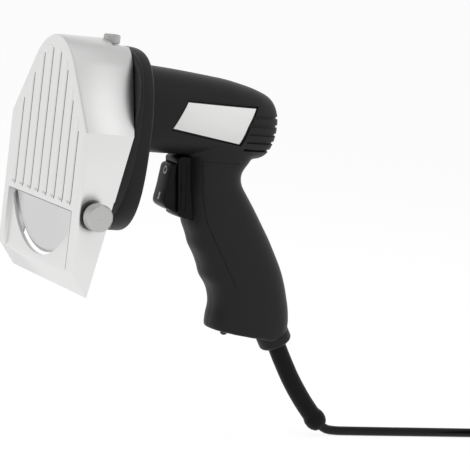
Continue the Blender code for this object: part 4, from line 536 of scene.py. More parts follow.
def make_wear_group():
    """A mask of edges rubbed bright, broken up by noise."""
    group, sheet, start, end = new_group(
        "edge_wear",
        [("Amount", FLOAT, 0.5), ("Patches Per Metre", FLOAT, 400.0)],
        [("Mask", FLOAT)],
    )
    place = sheet.add("ShaderNodeTexCoord").outputs["Object"]
    patches = sheet.add("ShaderNodeTexNoise", detail=3.0)
    sheet.join(place, patches.inputs["Vector"])
    sheet.join(start.outputs["Patches Per Metre"], patches.inputs["Scale"])
    pointiness = sheet.add("ShaderNodeNewGeometry").outputs["Pointiness"]
    raised = sheet.maths("MULTIPLY", sheet.maths("SUBTRACT", pointiness, WEAR_POINTINESS), WEAR_GAIN)
    broken = sheet.maths("MULTIPLY", raised, patches.outputs["Fac"])
    limited = sheet.add("ShaderNodeClamp")
    sheet.join(sheet.maths("MULTIPLY", broken, start.outputs["Amount"]), limited.inputs["Value"])
    sheet.join(limited.outputs[0], end.inputs["Mask"])
    return group


def make_lines_group():
    """Fine lines across a chosen measure, for brushed, turned, ground and wound surfaces."""
    group, sheet, start, end = new_group(
        "fine_lines",
        [
            ("Measure", FLOAT, 0.0),
            ("Lines Per Metre", FLOAT, 3000.0),
            ("Depth", FLOAT, 0.00001),
            ("Normal", VECTOR, (0, 0, 0)),
        ],
        [("Fac", FLOAT), ("Normal", VECTOR)],
    )
    lines = sheet.add("ShaderNodeTexNoise", noise_dimensions="1D", detail=4.0, roughness=0.7)
    lines.inputs["Scale"].default_value = 1.0
    across = sheet.maths("MULTIPLY", start.outputs["Measure"], start.outputs["Lines Per Metre"])
    sheet.join(across, lines.inputs["W"])
    bump = sheet.add("ShaderNodeBump", strength=1.0)
    sheet.join(start.outputs["Depth"], bump.inputs["Distance"])
    sheet.join(lines.outputs["Fac"], bump.inputs["Height"])
    sheet.join(start.outputs["Normal"], bump.inputs["Normal"])
    sheet.join(lines.outputs["Fac"], end.inputs["Fac"])
    sheet.join(bump.outputs["Normal"], end.inputs["Normal"])
    return group


GRAIN = make_grain_group()
WEAR = make_wear_group()
LINES = make_lines_group()


def shader_of(name):
    """A new material: the material, its sheet and its Principled shader."""
    material = bpy.data.materials.new(name)
    material.use_nodes = True
    sheet = NodeSheet(material.node_tree)
    return material, sheet, material.node_tree.nodes["Principled BSDF"]


def grained(name, colour, roughness, metallic, specular, change, rough_change, grains, depth):
    """A finish with fine grain all over: its material, sheet, shader and grain node."""
    material, sheet, shader = shader_of(name)
    grain = sheet.add("ShaderNodeGroup", node_tree=GRAIN)
    for label, value in (
        ("Colour", (*colour, 1)),
        ("Colour Change", change),
        ("Roughness", roughness),
        ("Roughness Change", rough_change),
        ("Grains Per Metre", grains),
        ("Depth", depth),
    ):
        grain.inputs[label].default_value = value
    sheet.join(grain.outputs["Colour"], shader.inputs["Base Color"])
    sheet.join(grain.outputs["Roughness"], shader.inputs["Roughness"])
    sheet.join(grain.outputs["Normal"], shader.inputs["Normal"])
    shader.inputs["Metallic"].default_value = metallic
    shader.inputs["Specular IOR Level"].default_value = specular
    return material, sheet, shader, grain


def worn(made, colour):
    """Edges of a grained finish rubbed to another colour."""
    _, sheet, shader, grain = made
    wear = sheet.add("ShaderNodeGroup", node_tree=WEAR)
    wear.inputs["Amount"].default_value = WEAR_AMOUNT
    wear.inputs["Patches Per Metre"].default_value = WEAR_PATCHES_PER_METRE
    mix = sheet.add("ShaderNodeMix", data_type="RGBA")
    sheet.join(wear.outputs["Mask"], mix.inputs["Factor"])
    sheet.join(grain.outputs["Colour"], mix.inputs[MIX_FIRST])
    mix.inputs[MIX_SECOND].default_value = (*colour, 1)
    sheet.join(mix.outputs[MIX_RESULT], shader.inputs["Base Color"])


def measure_of(sheet, kind, centre):
    """One measure of a point: its distance from an axis along X through a centre, or one coordinate."""
    place = sheet.add("ShaderNodeMapping")
    place.inputs["Location"].default_value = [-c for c in centre]
    sheet.join(sheet.add("ShaderNodeTexCoord").outputs["Object"], place.inputs["Vector"])
    if kind == "radius":
        flat = sheet.add("ShaderNodeVectorMath", operation="MULTIPLY")
        flat.inputs[1].default_value = (0, 1, 1)
        sheet.join(place.outputs[0], flat.inputs[0])
        length = sheet.add("ShaderNodeVectorMath", operation="LENGTH")
        sheet.join(flat.outputs[0], length.inputs[0])
        return length.outputs["Value"]
    parts = sheet.add("ShaderNodeSeparateXYZ")
    sheet.join(place.outputs[0], parts.inputs[0])
    return parts.outputs[kind]


def lined(made, kind, lines, depth, centre):
    """Fine lines over a grained finish, across a radius or a coordinate."""
    _, sheet, shader, grain = made
    line = sheet.add("ShaderNodeGroup", node_tree=LINES)
    sheet.join(measure_of(sheet, kind, centre), line.inputs["Measure"])
    line.inputs["Lines Per Metre"].default_value = lines
    line.inputs["Depth"].default_value = depth
    sheet.join(grain.outputs["Normal"], line.inputs["Normal"])
    sheet.join(line.outputs["Normal"], shader.inputs["Normal"])


# Slot or piece, colour, roughness, metallic, specular, then the grain's colour change, roughness change,
# grains a metre and depth
FINISH_ROWS = (
    ("guard_metal", (0.78, 0.78, 0.775), 0.32, 1.0, 0.50, 0.05, 0.16, 1400, 6e-6),
    ("blade_metal", (0.66, 0.66, 0.66), 0.26, 1.0, 0.50, 0.06, 0.10, 1500, 2e-6),
    # Painted shade for the floors of the guard's fine lines
    ("groove_shade_paint", (0.20, 0.20, 0.20), 0.50, 1.0, 0.50, 0.10, 0.15, 900, 2e-5),
    ("machine_steel", (0.60, 0.60, 0.59), 0.30, 1.0, 0.50, 0.08, 0.15, 1200, 4e-6),
    ("fastener_steel", (0.62, 0.62, 0.60), 0.28, 1.0, 0.50, 0.14, 0.15, 500, 6e-6),
    ("knob_face", (0.50, 0.50, 0.49), 0.34, 1.0, 0.50, 0.10, 0.15, 1500, 6e-6),
    # The base stud's dark steel, also painted on the side knob's neck as shade
    ("dark_stud_and_neck_shade", (0.05, 0.05, 0.05), 0.35, 1.0, 0.50, 0.20, 0.15, 900, 2e-5),
    ("bronze", (0.55, 0.36, 0.18), 0.42, 1.0, 0.50, 0.30, 0.15, 2500, 3e-5),
    ("brass", (0.76, 0.57, 0.25), 0.28, 1.0, 0.50, 0.10, 0.15, 900, 2e-5),
    ("copper_wire", (0.60, 0.24, 0.09), 0.34, 1.0, 0.50, 0.25, 0.15, 900, 2e-5),
    ("lamination", (0.30, 0.30, 0.31), 0.45, 1.0, 0.50, 0.20, 0.15, 900, 2e-5),
    ("carbon", (0.03, 0.03, 0.03), 0.55, 0.0, 0.50, 0.40, 0.15, 2000, 2e-5),
    ("body_plastic", (0.0095, 0.0095, 0.010), 0.46, 0.0, 0.20, 0.25, 0.10, 1700, 3e-5),
    ("switch_plastic", (0.003, 0.003, 0.0033), 0.36, 0.0, 0.12, 0.15, 0.10, 1300, 8e-6),
    ("switch_print", (0.92, 0.92, 0.90), 0.45, 0.0, 0.50, 0.10, 0.15, 2500, 2e-5),
    ("gear_nylon", (0.74, 0.72, 0.66), 0.42, 0.0, 0.50, 0.08, 0.15, 600, 1e-5),
    ("fan_nylon", (0.18, 0.20, 0.23), 0.45, 0.0, 0.50, 0.12, 0.15, 700, 2e-5),
    ("felt", (0.33, 0.31, 0.28), 0.95, 0.0, 0.50, 0.50, 0.15, 2600, 3e-4),
    ("label", (0.80, 0.80, 0.79), 0.38, 0.0, 0.50, 0.03, 0.15, 900, 3e-6),
    ("rubber", (0.0035, 0.0035, 0.0038), 0.45, 0.0, 0.12, 0.25, 0.15, 900, 1e-5),
    ("cord_sheath", (0.0035, 0.0035, 0.0035), 0.30, 0.0, 0.20, 0.20, 0.15, 500, 6e-6),
    ("blue_wire", (0.03, 0.08, 0.40), 0.42, 0.0, 0.50, 0.15, 0.15, 900, 2e-5),
    ("red_wire", (0.48, 0.03, 0.025), 0.42, 0.0, 0.50, 0.15, 0.15, 900, 2e-5),
)
PLAIN_CENTRE = Vector((0, 0, 0))
BLADE_CENTRE = TOOL_SHIFT
MOTOR_CENTRE = TOOL_SHIFT + Vector((0, 0, MOTOR_Z))
# Finish, what its fine lines cross, lines a metre, depth, and the centre that this is measured from
LINE_ROWS = (
    ("guard_metal", "Z", 2600, 1.5e-6, PLAIN_CENTRE),
    ("blade_metal", "radius", 5200, 4e-6, BLADE_CENTRE),
    ("machine_steel", "radius", 6000, 2e-6, BLADE_CENTRE),
    ("fastener_steel", "radius", 4000, 4e-6, MOTOR_CENTRE),
    ("copper_wire", "Y", 1500, 2e-4, PLAIN_CENTRE),
    ("lamination", "X", 2000, 1e-4, PLAIN_CENTRE),
    ("brass", "X", 3000, 2e-5, PLAIN_CENTRE),
)
# Colours of rubbed edges
WEAR_ROWS = (("body_plastic", (0.020, 0.020, 0.021)), ("switch_plastic", (0.02, 0.02, 0.02)))
WEAR_AMOUNT = 0.35
WEAR_PATCHES_PER_METRE = 400.0
BLADE_ANISOTROPY = 0.75


def make_finishes():
    """Every finish of the slicer, by the name of its slot or of its piece."""
    made = {row[0]: grained(*row) for row in FINISH_ROWS}
    for name, *lines in LINE_ROWS:
        lined(made[name], *lines)
    for name, colour in WEAR_ROWS:
        worn(made[name], colour)
    _, sheet, shader, _ = made["blade_metal"]
    shader.inputs["Anisotropic"].default_value = BLADE_ANISOTROPY
    tangent = sheet.add("ShaderNodeTangent", direction_type="RADIAL", axis="X")
    sheet.join(tangent.outputs[0], shader.inputs["Tangent"])
    return {name: parts[0] for name, parts in made.items()}


FINISHES = make_finishes()


def eased(rows, steps):
    """More rows on smooth curves through a table's rows, measured along their first two columns."""
    marks = [0.0]
    for a, b in zip(rows, rows[1:]):
        marks.append(marks[-1] + math.hypot(b[0] - a[0], b[1] - a[1]))
    slopes = []
    for i in range(len(rows)):
        low, high = max(i - 1, 0), min(i + 1, len(rows) - 1)
        chords = []
        for j in range(low, high):
            span = marks[j + 1] - marks[j]
            chords.append((span, [(b - a) / span for a, b in zip(rows[j], rows[j + 1])]))
        if len(chords) == 1:
            slopes.append(chords[0][1])
        else:
            (span_a, slope_a), (span_b, slope_b) = chords
            total = span_a + span_b
            slopes.append([(a * span_b + b * span_a) / total for a, b in zip(slope_a, slope_b)])
    made = []
    for i in range(len(rows) - 1):
        span = marks[i + 1] - marks[i]
        for k in range(steps):
            t = k / steps
            start_share = 2 * t ** 3 - 3 * t ** 2 + 1
            end_share = 3 * t ** 2 - 2 * t ** 3
            out_share = t ** 3 - 2 * t ** 2 + t
            in_share = t ** 3 - t ** 2
            made.append([
                start_share * a + out_share * span * p + end_share * b + in_share * span * q
                for a, b, p, q in zip(rows[i], rows[i + 1], slopes[i], slopes[i + 1])
            ])
    return [*made, list(rows[-1])]


def smooth_route(points, spacing):
    """Points at even steps on a smooth curve through a route's own points."""
    route = [Vector(point) for point in points]
    ends = [2 * route[0] - route[1], *route, 2 * route[-1] - route[-2]]
    fine = []
    for before, start, end, after in zip(ends, ends[1:], ends[2:], ends[3:]):
        pieces = max(2, round((end - start).length / spacing))
        for i in range(pieces):
            t = i / pieces
            bend = 2 * before - 5 * start + 4 * end - after
            twist = 3 * (start - end) + after - before
            fine.append(start + ((end - before) * t + bend * t ** 2 + twist * t ** 3) / 2)
    return [*fine, route[-1]]


# Sleeve, cord, coil and tail, in the tool's frame
SLEEVE_RADIUS = 0.00535
SLEEVE_TILT = math.radians(59)
COLLAR_SEAM = Vector((0.1523, 0, -0.0896))
COLLAR_NECK = 0.0055
COLLAR_LENGTH = 0.0086
COLLAR_RADIUS = 0.0097
COLLAR_NECK_RADIUS = 0.0078
CORD_RADIUS = 0.0027
FLOOR_Z = -0.1507
COIL_CENTRE_X = 0.336
COIL_INNER_RADIUS = 0.0255
COIL_PITCH = 0.0059
COIL_LAYERS = 4
COIL_LAYER_TURNS = 2
COIL_OUTER_RADIUS = COIL_INNER_RADIUS + COIL_LAYER_TURNS * COIL_PITCH
COIL_LOOP_POINTS = 24
# Shares of the sleeve's radius along the bead at its end
BEAD_SHARES = (1.0, 1.10, 1.16, 1.16, 1.08, 0.90)
SLEEVE_ROUTE = (
    (0.1560, 0.0, -0.0961),
    (0.1621, 0.0, -0.1066),
    (0.1696, 0.0, -0.1184),
    (0.1785, 0.0, -0.1301),
    (0.1875, 0.0, -0.1401),
    (0.1921, 0.0, -0.1443),
)
CORD_ROUTE = (
    (0.1924, 0.0, -0.1446),
    (0.1968, 0.0, -0.1470),
    (0.2030, 0.0, -0.14785),
    (0.2150, 0.0, -0.1480),
    (0.2700, 0.0, -0.1480),
    (0.3050, 0.0, -0.1480),
    (0.3303, 0.0, -0.1480),
)
INNER_CORD_ROUTE = (
    (0.1493, 0.0, -0.0846),
    (0.1466, 0.0, -0.0801),
    (0.1440, 0.0, -0.0755),
    (0.1395, 0.0, -0.0650),
    (0.1340, 0.0, -0.0520),
    (0.1265, 0.0, -0.0380),
    (0.1170, 0.0, -0.0260),
    (0.1110, 0.0, -0.0190),
)
TAIL_ROUTE = (
    (0.3417, 0.0, -0.1303),
    (0.3520, 0.0, -0.1304),
    (0.3620, 0.0, -0.1314),
    (0.3750, 0.0, -0.1355),
    (0.3900, 0.0, -0.1410),
    (0.4030, 0.0, -0.1437),
    (0.4120, 0.0, -0.14385),
    (0.4200, 0.0, -0.14385),
)


def coil_point(turn):
    """A point of the piled coil after so many turns, which spirals in and out again layer by layer."""
    layer = min(int(turn / COIL_LAYER_TURNS), COIL_LAYERS - 1)
    within = turn - layer * COIL_LAYER_TURNS
    inward = within if layer % 2 == 0 else COIL_LAYER_TURNS - within
    radius = COIL_OUTER_RADIUS - COIL_PITCH * inward
    height = 0
    for step in range(1, COIL_LAYERS):
        climb = min(1, max(0, 2 * (turn - step * COIL_LAYER_TURNS) + 0.5))
        height += COIL_PITCH * climb ** 2 * (3 - 2 * climb)
    angle = math.pi / 2 - math.tau * turn
    across = radius * math.sin(angle) - COIL_OUTER_RADIUS
    return Vector((COIL_CENTRE_X + radius * math.cos(angle), across, FLOOR_Z + CORD_RADIUS + height))


def round_tube(name, points, radii, finish, sides=6):
    """A round tube as a curve along points, each with its own radius, placed in the frame."""
    curve = bpy.data.curves.new(name, "CURVE")
    curve.dimensions = "3D"
    curve.bevel_depth = 1
    curve.bevel_resolution = sides
    curve.use_fill_caps = True
    spline = curve.splines.new("POLY")
    spline.points.add(len(points) - 1)
    for knot, place, radius in zip(spline.points, points, radii):
        knot.co = (*(Vector(place) + TOOL_SHIFT), 1)
        knot.radius = radius
    curve.materials.append(FINISHES[finish])
    tube = bpy.data.objects.new(name, curve)
    bpy.context.scene.collection.objects.link(tube)
    return tube


def add_cords():
    """The free mains cord in one length, the sleeve that eases its bend, and the cord inside the grip."""
    total = COIL_LAYERS * COIL_LAYER_TURNS * COIL_LOOP_POINTS
    coil = [coil_point(i / COIL_LOOP_POINTS) for i in range(total + 1)]
    straight = Vector((2 * CORD_RADIUS, 0, 0))
    run = smooth_route(CORD_ROUTE, CORD_RADIUS * 2)
    tail = smooth_route(TAIL_ROUTE, CORD_RADIUS * 2)
    line = [*run, coil[0] - straight / 2, *coil, coil[-1] + straight / 2, *tail]
    cord = round_tube("mains_cord", line, [CORD_RADIUS] * len(line), "cord_sheath")
    declared(cord, "tool_body", "rubber", "power_cord", "cord_coil", "cord_tail")
    add_plug()
    along = Vector((math.cos(SLEEVE_TILT), 0, -math.sin(SLEEVE_TILT)))
    start = COLLAR_SEAM - along * COLLAR_NECK
    route = [start, *smooth_route([COLLAR_SEAM, *SLEEVE_ROUTE], SLEEVE_RADIUS / 3)]
    radii = [SLEEVE_RADIUS] * len(route)
    radii[-len(BEAD_SHARES):] = [SLEEVE_RADIUS * share for share in BEAD_SHARES]
    sleeve = round_tube("bend_sleeve", route, radii, "rubber", sides=10)
    declared(sleeve, "tool_body", "rubber", "strain_relief")
    inner = smooth_route(INNER_CORD_ROUTE, CORD_RADIUS)
    inner_cord = round_tube("cord_in_grip", inner, [CORD_RADIUS] * len(inner), "cord_sheath")
    declared(inner_cord, "tool_body", "rubber", "inner_cord")


# Plug
PLUG_ROUND = 0.0016
PLUG_GROOVES = 4
PLUG_GROOVE_PITCH = 0.0032
PLUG_GROOVE_WIDTH = 0.0012
PLUG_GROOVE_RADIUS = 0.0060
PLUG_NECK_RADIUS = 0.0034
PLUG_PINS_LENGTH = 0.0187


def add_plug():
    """The flat two-pin plug with a ribbed neck, rounded shoulders and bare metal pins."""
    end = Vector(TAIL_ROUTE[-1])
    plug = refined("plug_body", "mains_plug")
    rounded(plug, PLUG_ROUND, segments=4)
    for k in range(PLUG_GROOVES):
        start = end.x + PLUG_GROOVE_PITCH + PLUG_GROOVE_PITCH * k
        groove = cylinder("plug_groove", PLUG_GROOVE_RADIUS, start, start + PLUG_GROOVE_WIDTH, end, sides=48)
        core = cylinder("plug_groove_core", PLUG_NECK_RADIUS, start - OVERRUN, start + OVERRUN, end, sides=48)
        combine(plug, combine(groove, core))
    settled(plug, "tool_body", "rubber", "plug_body")
    face_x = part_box("plug_body")[1][0] - PLUG_PINS_LENGTH
    painted(plug, "machine_steel", lambda face: face.center.x > face_x)
    return plug


def guard_slant():
    """The angle on the crown where the guard's slanted side starts."""
    down = GUARD_CREASE_Z - GUARD_CROWN_Z
    reach = math.hypot(GUARD_HALF_WIDTH, down)
    return math.atan2(down, GUARD_HALF_WIDTH) + math.acos(GUARD_CROWN_RADIUS / reach)


def slanted_side_z(y, radius):
    """The height of the guard's slanted side at y, for a crown drawn in to a radius."""
    slant = guard_slant()
    return GUARD_CROWN_Z + (radius - y * math.cos(slant)) / math.sin(slant)


def guard_outline(inset=0.0, bottom=GUARD_BOTTOM_Z, roof=None):
    """The guard's outline in (y, z), drawn in by inset, with an optional flat roof."""
    slant = guard_slant()
    half = GUARD_HALF_WIDTH - inset
    radius = GUARD_CROWN_RADIUS - inset
    crease = slanted_side_z(half, radius)
    edge = math.pi - slant if roof is None else math.asin((roof - GUARD_CROWN_Z) / radius)
    steps = CROWN_STEPS if roof is None else CROWN_STEPS // 4
    right = []
    for i in range(steps + 1):
        a = slant + (edge - slant) * i / steps
        right.append((radius * math.cos(a), GUARD_CROWN_Z + radius * math.sin(a)))
    top = right if roof is None else right + [(-y, z) for y, z in reversed(right)]
    return [(-half, bottom), (half, bottom), (half, crease), *top, (-half, crease)]


def recess_x(z):
    """The recess floor's front face, a little shallower toward the toe."""
    share = (RECESS_TOP_Z - z) / (RECESS_TOP_Z - TOE_TOP_Z)
    return RECESS_TOP_DEPTH + (RECESS_TOE_DEPTH - RECESS_TOP_DEPTH) * share


def toe_x(z):
    """The slanted front of the guard's toe."""
    return TOE_LIP_X * (TOE_TOP_Z - z) / (TOE_TOP_Z - GUARD_BOTTOM_Z)


def slot_outline(radius, rear, z_centre=0.0, x_centre=SIDE_KNOB_X):
    """A slot with a round front end that runs out at the rear edge, in (x, other)."""
    arc = [math.pi / 2 + math.pi * i / SLOT_STEPS for i in range(SLOT_STEPS + 1)]
    nose = [(x_centre + radius * math.cos(a), z_centre + radius * math.sin(a)) for a in arc]
    return [*nose, (rear, z_centre - radius), (rear, z_centre + radius)]


def flute_places():
    """Where the middles of the flutes lie across the guard."""
    return [side * (i + 0.5) * FLUTE_PITCH for i in range(FLUTE_PAIRS) for side in (-1, 1)]


def flute_top(y):
    """How far up a flute reaches, which follows the crown."""
    radius = GUARD_CROWN_RADIUS - FLUTE_INSET
    if abs(y) > radius * math.cos(guard_slant()):
        return slanted_side_z(abs(y), radius)
    return GUARD_CROWN_Z + math.sqrt(radius ** 2 - y ** 2)


def line_cutters():
    """The narrow lines beside the flutes, with a hook at each foot, and round the recess; their floors are
    painted dark as shade.
    """
    cutters = []
    half = FLUTE_LINE_WIDTH / 2
    low = FLUTE_LOWER_Z
    foot = low - FLUTE_HOOK
    for middle in flute_places():
        y = middle - FLUTE_RADIUS * FLUTE_WIDTH_SHARE - half
        top = flute_top(abs(y) + half)
        outline = [
            (y + half, top),
            (y - half, top),
            (y - half, low - FLUTE_HOOK * FLUTE_HOOK_SHARE),
            (y + half, foot),
            (y + 3 * half, foot),
            (y + half, low + half),
        ]
        cutters.append(slab("flute_line", outline, -OVERRUN, FLUTE_LINE_DEPTH))
    top, wide = RECESS_TOP_Z, RECESS_HALF_WIDTH
    deep = RECESS_TOP_DEPTH + RECESS_LINE_DEPTH
    cutters.append(block("recess_line", (0, -wide, top - RECESS_LINE_HEIGHT), (deep, wide, top)))
    edge = -wide - GUARD_ROUND / 4
    cutters.append(block("rim_line", (-OVERRUN, edge - half, TOE_TOP_Z), (FLUTE_LINE_DEPTH, edge, top)))
    return cutters


def flute_cutter(y):
    """One shallow upright flute with round ends, which runs up to the crown."""
    wide = FLUTE_RADIUS * FLUTE_WIDTH_SHARE
    rings = []
    for share in FLUTE_DEPTH_SHARES:
        ring = []
        for z, way in ((FLUTE_LOWER_Z, -1), (flute_top(y), 1)):
            for i in range(FLUTE_END_STEPS + 1):
                a = math.pi * i / FLUTE_END_STEPS
                across = math.cos(a) * wide * (1 - FLUTE_DRAW_IN_SHARE * share) * -way
                ring.append((FLUTE_DEPTH * share, y + across, z + way * math.sin(a) * wide * FLUTE_END_SHARE))
        rings.append(ring)
    front = [(-OVERRUN, py, pz) for _, py, pz in rings[0]]
    return drawn_out("flute", [front, *rings])


def guard_form():
    """The guard's outer form, with its rounded front edge and its slanted rear edge."""
    rings = []
    for i in range(GUARD_ROUND_STEPS + 1):
        a = math.pi / 2 * i / GUARD_ROUND_STEPS
        outline = guard_outline(GUARD_ROUND * (1 - math.sin(a)))
        rings.append([(GUARD_ROUND * (1 - math.cos(a)), y, z) for y, z in outline])
    rings.append([(rear_edge_x(z), y, z) for y, z in guard_outline()])
    return drawn_out("guard_casting", rings)


def guard_hollow():
    """The room behind the guard's walls, which leaves the recess pan and the toe standing."""
    low = GUARD_BOTTOM_Z - OVERRUN
    floor_x = RECESS_TOP_DEPTH + RECESS_FLOOR
    outline = guard_outline(GUARD_WALL, low, SHELF_Z - GUARD_WALL)
    hollow = slab("hollow", outline, GUARD_FRONT_WALL, lambda z: rear_edge_x(z) + OVERRUN)
    pan = RECESS_HALF_WIDTH + RECESS_FLOOR
    combine(hollow, block("pan", (0, -pan, low), (floor_x, pan, RECESS_TOP_Z + RECESS_FLOOR)))
    start = TOE_TOP_Z - (floor_x - GUARD_FRONT_WALL) * (TOE_TOP_Z - GUARD_BOTTOM_Z) / TOE_LIP_X
    toe = [(0, start), (floor_x, start), (toe_x(low) + GUARD_FRONT_WALL, low), (0, low)]
    return combine(hollow, side_slab("toe_fill", toe, -GUARD_HALF_WIDTH, GUARD_HALF_WIDTH))


def cut_guard_front(guard):
    """Cut the toe's slant, the recess, the blade's mouth and the flutes."""
    wide = GUARD_HALF_WIDTH + OVERRUN
    low, high = GUARD_BOTTOM_Z - OVERRUN, TOE_TOP_Z + OVERRUN
    slant = [(toe_x(high), high), (toe_x(low), low), (-wide, low)]
    combine(guard, side_slab("toe_slant", slant, -wide, wide))
    front, top = -OVERRUN, RECESS_TOP_Z
    recess = [(front, top), (recess_x(top), top), (recess_x(low), low), (front, low)]
    combine(guard, side_slab("recess", recess, -RECESS_HALF_WIDTH, RECESS_HALF_WIDTH))
    radius = BLADE_RADIUS + MOUTH_GAP
    half = RECESS_HALF_WIDTH - FIT
    corner = math.acos(half / radius)
    mouth = [(-half, MOUTH_TOP_Z), (half, MOUTH_TOP_Z)]
    for i in range(MOUTH_STEPS + 1):
        a = -corner - (math.pi - 2 * corner) * i / MOUTH_STEPS
        mouth.append((radius * math.cos(a), radius * math.sin(a)))
    combine(guard, slab("mouth", mouth, front, GUARD_FRONT_WALL + BLADE_FRONT_X))
    for y in flute_places():
        combine(guard, flute_cutter(y))


def cut_knob_slots(guard):
    """Cut the side knob's slot and seat, the flat shelf on top and the top knob's slot."""
    rear = GUARD_REAR_X + OVERRUN
    outer = -GUARD_HALF_WIDTH - OVERRUN
    slot = slot_outline(STUD_RADIUS + FIT, rear, SIDE_KNOB_Z)
    combine(guard, side_slab("side_slot", slot, outer, OVERRUN - GUARD_HALF_WIDTH))
    seat = slot_outline(SIDE_KNOB_RADIUS + FIT, rear, SIDE_KNOB_Z)
    combine(guard, side_slab("side_seat", seat, outer, SIDE_SEAT_DEPTH - GUARD_HALF_WIDTH))
    shelf_high = (rear + GUARD_REAR_X, GUARD_HALF_WIDTH, SHELF_Z * 2)
    combine(guard, block("shelf", (SHELF_FRONT_X, -GUARD_HALF_WIDTH, SHELF_Z), shelf_high))
    slot = slot_outline(STUD_RADIUS + FIT, rear + GUARD_REAR_X, 0, TOP_KNOB_X)
    levels = (SHELF_Z - GUARD_WALL - OVERRUN, SHELF_Z + OVERRUN)
    combine(guard, drawn_out("top_slot", [[(x, y, z) for x, y in slot] for z in levels]))


def in_shade_painted_line(face):
    """Whether a face is the floor of a line on the guard's front or in its recess, which is painted dark as
    shade.
    """
    x, y, z = face.center - TOOL_SHIFT
    near = FLUTE_LINE_DEPTH / 4
    on_front = abs(x - FLUTE_LINE_DEPTH) < near and TOE_TOP_Z < z
    in_recess = abs(x - RECESS_TOP_DEPTH - RECESS_LINE_DEPTH) < near and abs(y) < RECESS_HALF_WIDTH
    return (on_front or in_recess) and face.normal.x < FRONT_FACING


def add_guard():
    """The cast guard, with rounded edges, flutes, recess, mouth and open slots for its two knobs."""
    guard = guard_form()
    combine(guard, guard_hollow())
    cut_guard_front(guard)
    cut_knob_slots(guard)
    rounded(guard, GUARD_EDGE_ROUND, segments=2, angle=30)
    combine(guard, *line_cutters())
    settled(guard, "guard", "guard_metal", "blade_guard", smooth_angle=32)
    # The floors of the guard's fine lines are painted dark as shade
    painted(guard, "groove_shade_paint", in_shade_painted_line)


def add_blade():
    """The round blade: a ground disc with a long bevel, a bore and two drive holes."""
    rear = BLADE_FRONT_X + BLADE_THICKNESS
    rim = [(BLADE_FRONT_X + back, BLADE_RADIUS - within) for back, within in BLADE_RIM_ROWS]
    profile = [(BLADE_FRONT_X, BLADE_BORE_RADIUS), *rim, (rear, BLADE_BORE_RADIUS)]
    blade = turned("ground_blade", profile, (0, 0, 0), steps=160)
    for side in (-1, 1):
        centre = (0, side * DRIVE_HOLE_REACH, 0)
        combine(blade, cylinder("drive_hole", DRIVE_HOLE_RADIUS, 0, 2 * rear, centre, sides=32))
    settled(blade, "blade_set", "blade_metal", "round_blade", smooth_angle=12)


def add_side_knob():
    """The plain side knob with its centre dimple, its chamfer and its neck painted dark as shade."""
    seat = SIDE_SEAT_DEPTH - GUARD_HALF_WIDTH - FIT
    face = seat - SIDE_KNOB_HEIGHT
    reach = face + SIDE_KNOB_HEIGHT / 2
    neck = face + SIDE_KNOB_HEAD
    bore = STUD_RADIUS + FIT
    profile = [
        *[(face + deep, radius) for deep, radius in DIMPLE_ROWS],
        *[(face + back, SIDE_KNOB_RADIUS - within) for back, within in KNOB_RIM_ROWS],
        (neck - KNOB_BACK_CHAMFER, SIDE_KNOB_RADIUS),
        (neck, SIDE_KNOB_RADIUS - KNOB_BACK_CHAMFER),
        (neck, SIDE_KNOB_NECK_RADIUS),
        (seat, SIDE_KNOB_NECK_RADIUS),
        (seat, bore),
        (reach, bore),
        (reach, 0),
    ]
    knob = turned("clamp_knob", profile, (SIDE_KNOB_X, 0, SIDE_KNOB_Z), "Y", steps=72)
    settled(knob, "side_knob_turn", "machine_steel", "side_knob", finish="knob_face", smooth_angle=28)
    # The neck under the knob's head is painted dark as shade
    painted(knob, "dark_stud_and_neck_shade", lambda face: face.center.y > neck - KNOB_NECK_MARGIN)


def add_top_knob():
    """The knurled top knob with its driver slot."""
    base = SHELF_Z + FIT
    top = base + TOP_KNOB_HEIGHT
    rings = []
    for height, share in TOP_KNOB_ROWS:
        ring = []
        for i in range(KNURL_POINTS * KNURLS):
            a = math.tau * i / (KNURL_POINTS * KNURLS)
            deep = KNURL_DEPTH if i % KNURL_POINTS in (2, 3) and share == 1.0 else 0
            r = TOP_KNOB_RADIUS * share - deep
            ring.append((TOP_KNOB_X + r * math.cos(a), r * math.sin(a), base + height))
        rings.append(ring)
    knob = drawn_out("knurled_knob", rings)
    middle = base + TOP_KNOB_HEIGHT / 2
    start = base - OVERRUN
    combine(knob, cylinder("bore", STUD_RADIUS + FIT, start, middle, (TOP_KNOB_X, 0, 0), "Z", sides=32))
    low = (TOP_KNOB_X - DRIVER_SLOT_HALF_WIDTH, -OVERRUN, top - DRIVER_SLOT_DEPTH)
    high = (TOP_KNOB_X + DRIVER_SLOT_HALF_WIDTH, OVERRUN, top + OVERRUN)
    combine(knob, block("driver_slot", low, high))
    settled(knob, "top_knob_turn", "machine_steel", "top_knob", finish="knob_face", smooth_angle=28)


def seam_x(z):
    """The parting line round the flange, a little behind the guard's edge."""
    return SEAM_X + SEAM_SLOPE * z


def flange_edge(inset):
    """The flange's outline in (y, z), drawn in by inset."""
    half = FLANGE_HALF_WIDTH + FLANGE_SKIN - inset
    tall = FLANGE_HALF_HEIGHT + FLANGE_SKIN - inset
    return oval(0, FLANGE_Z, half, tall, FLANGE_SQUARENESS, FLANGE_SIDES)


def front_ring(inset, shift):
    """A ring of the flange just behind the guard's rear edge."""
    return [(rear_edge_x(z) + FLANGE_GAP - FLANGE_SKIN + shift, y, z) for y, z in flange_edge(inset)]


def seam_ring(inset, shift):
    """A ring of the flange at its parting line."""
    least = FLANGE_GAP + 2 * FLANGE_FRONT_ROUND
    return [(max(seam_x(z), rear_edge_x(z) + least) + shift, y, z) for y, z in flange_edge(inset)]


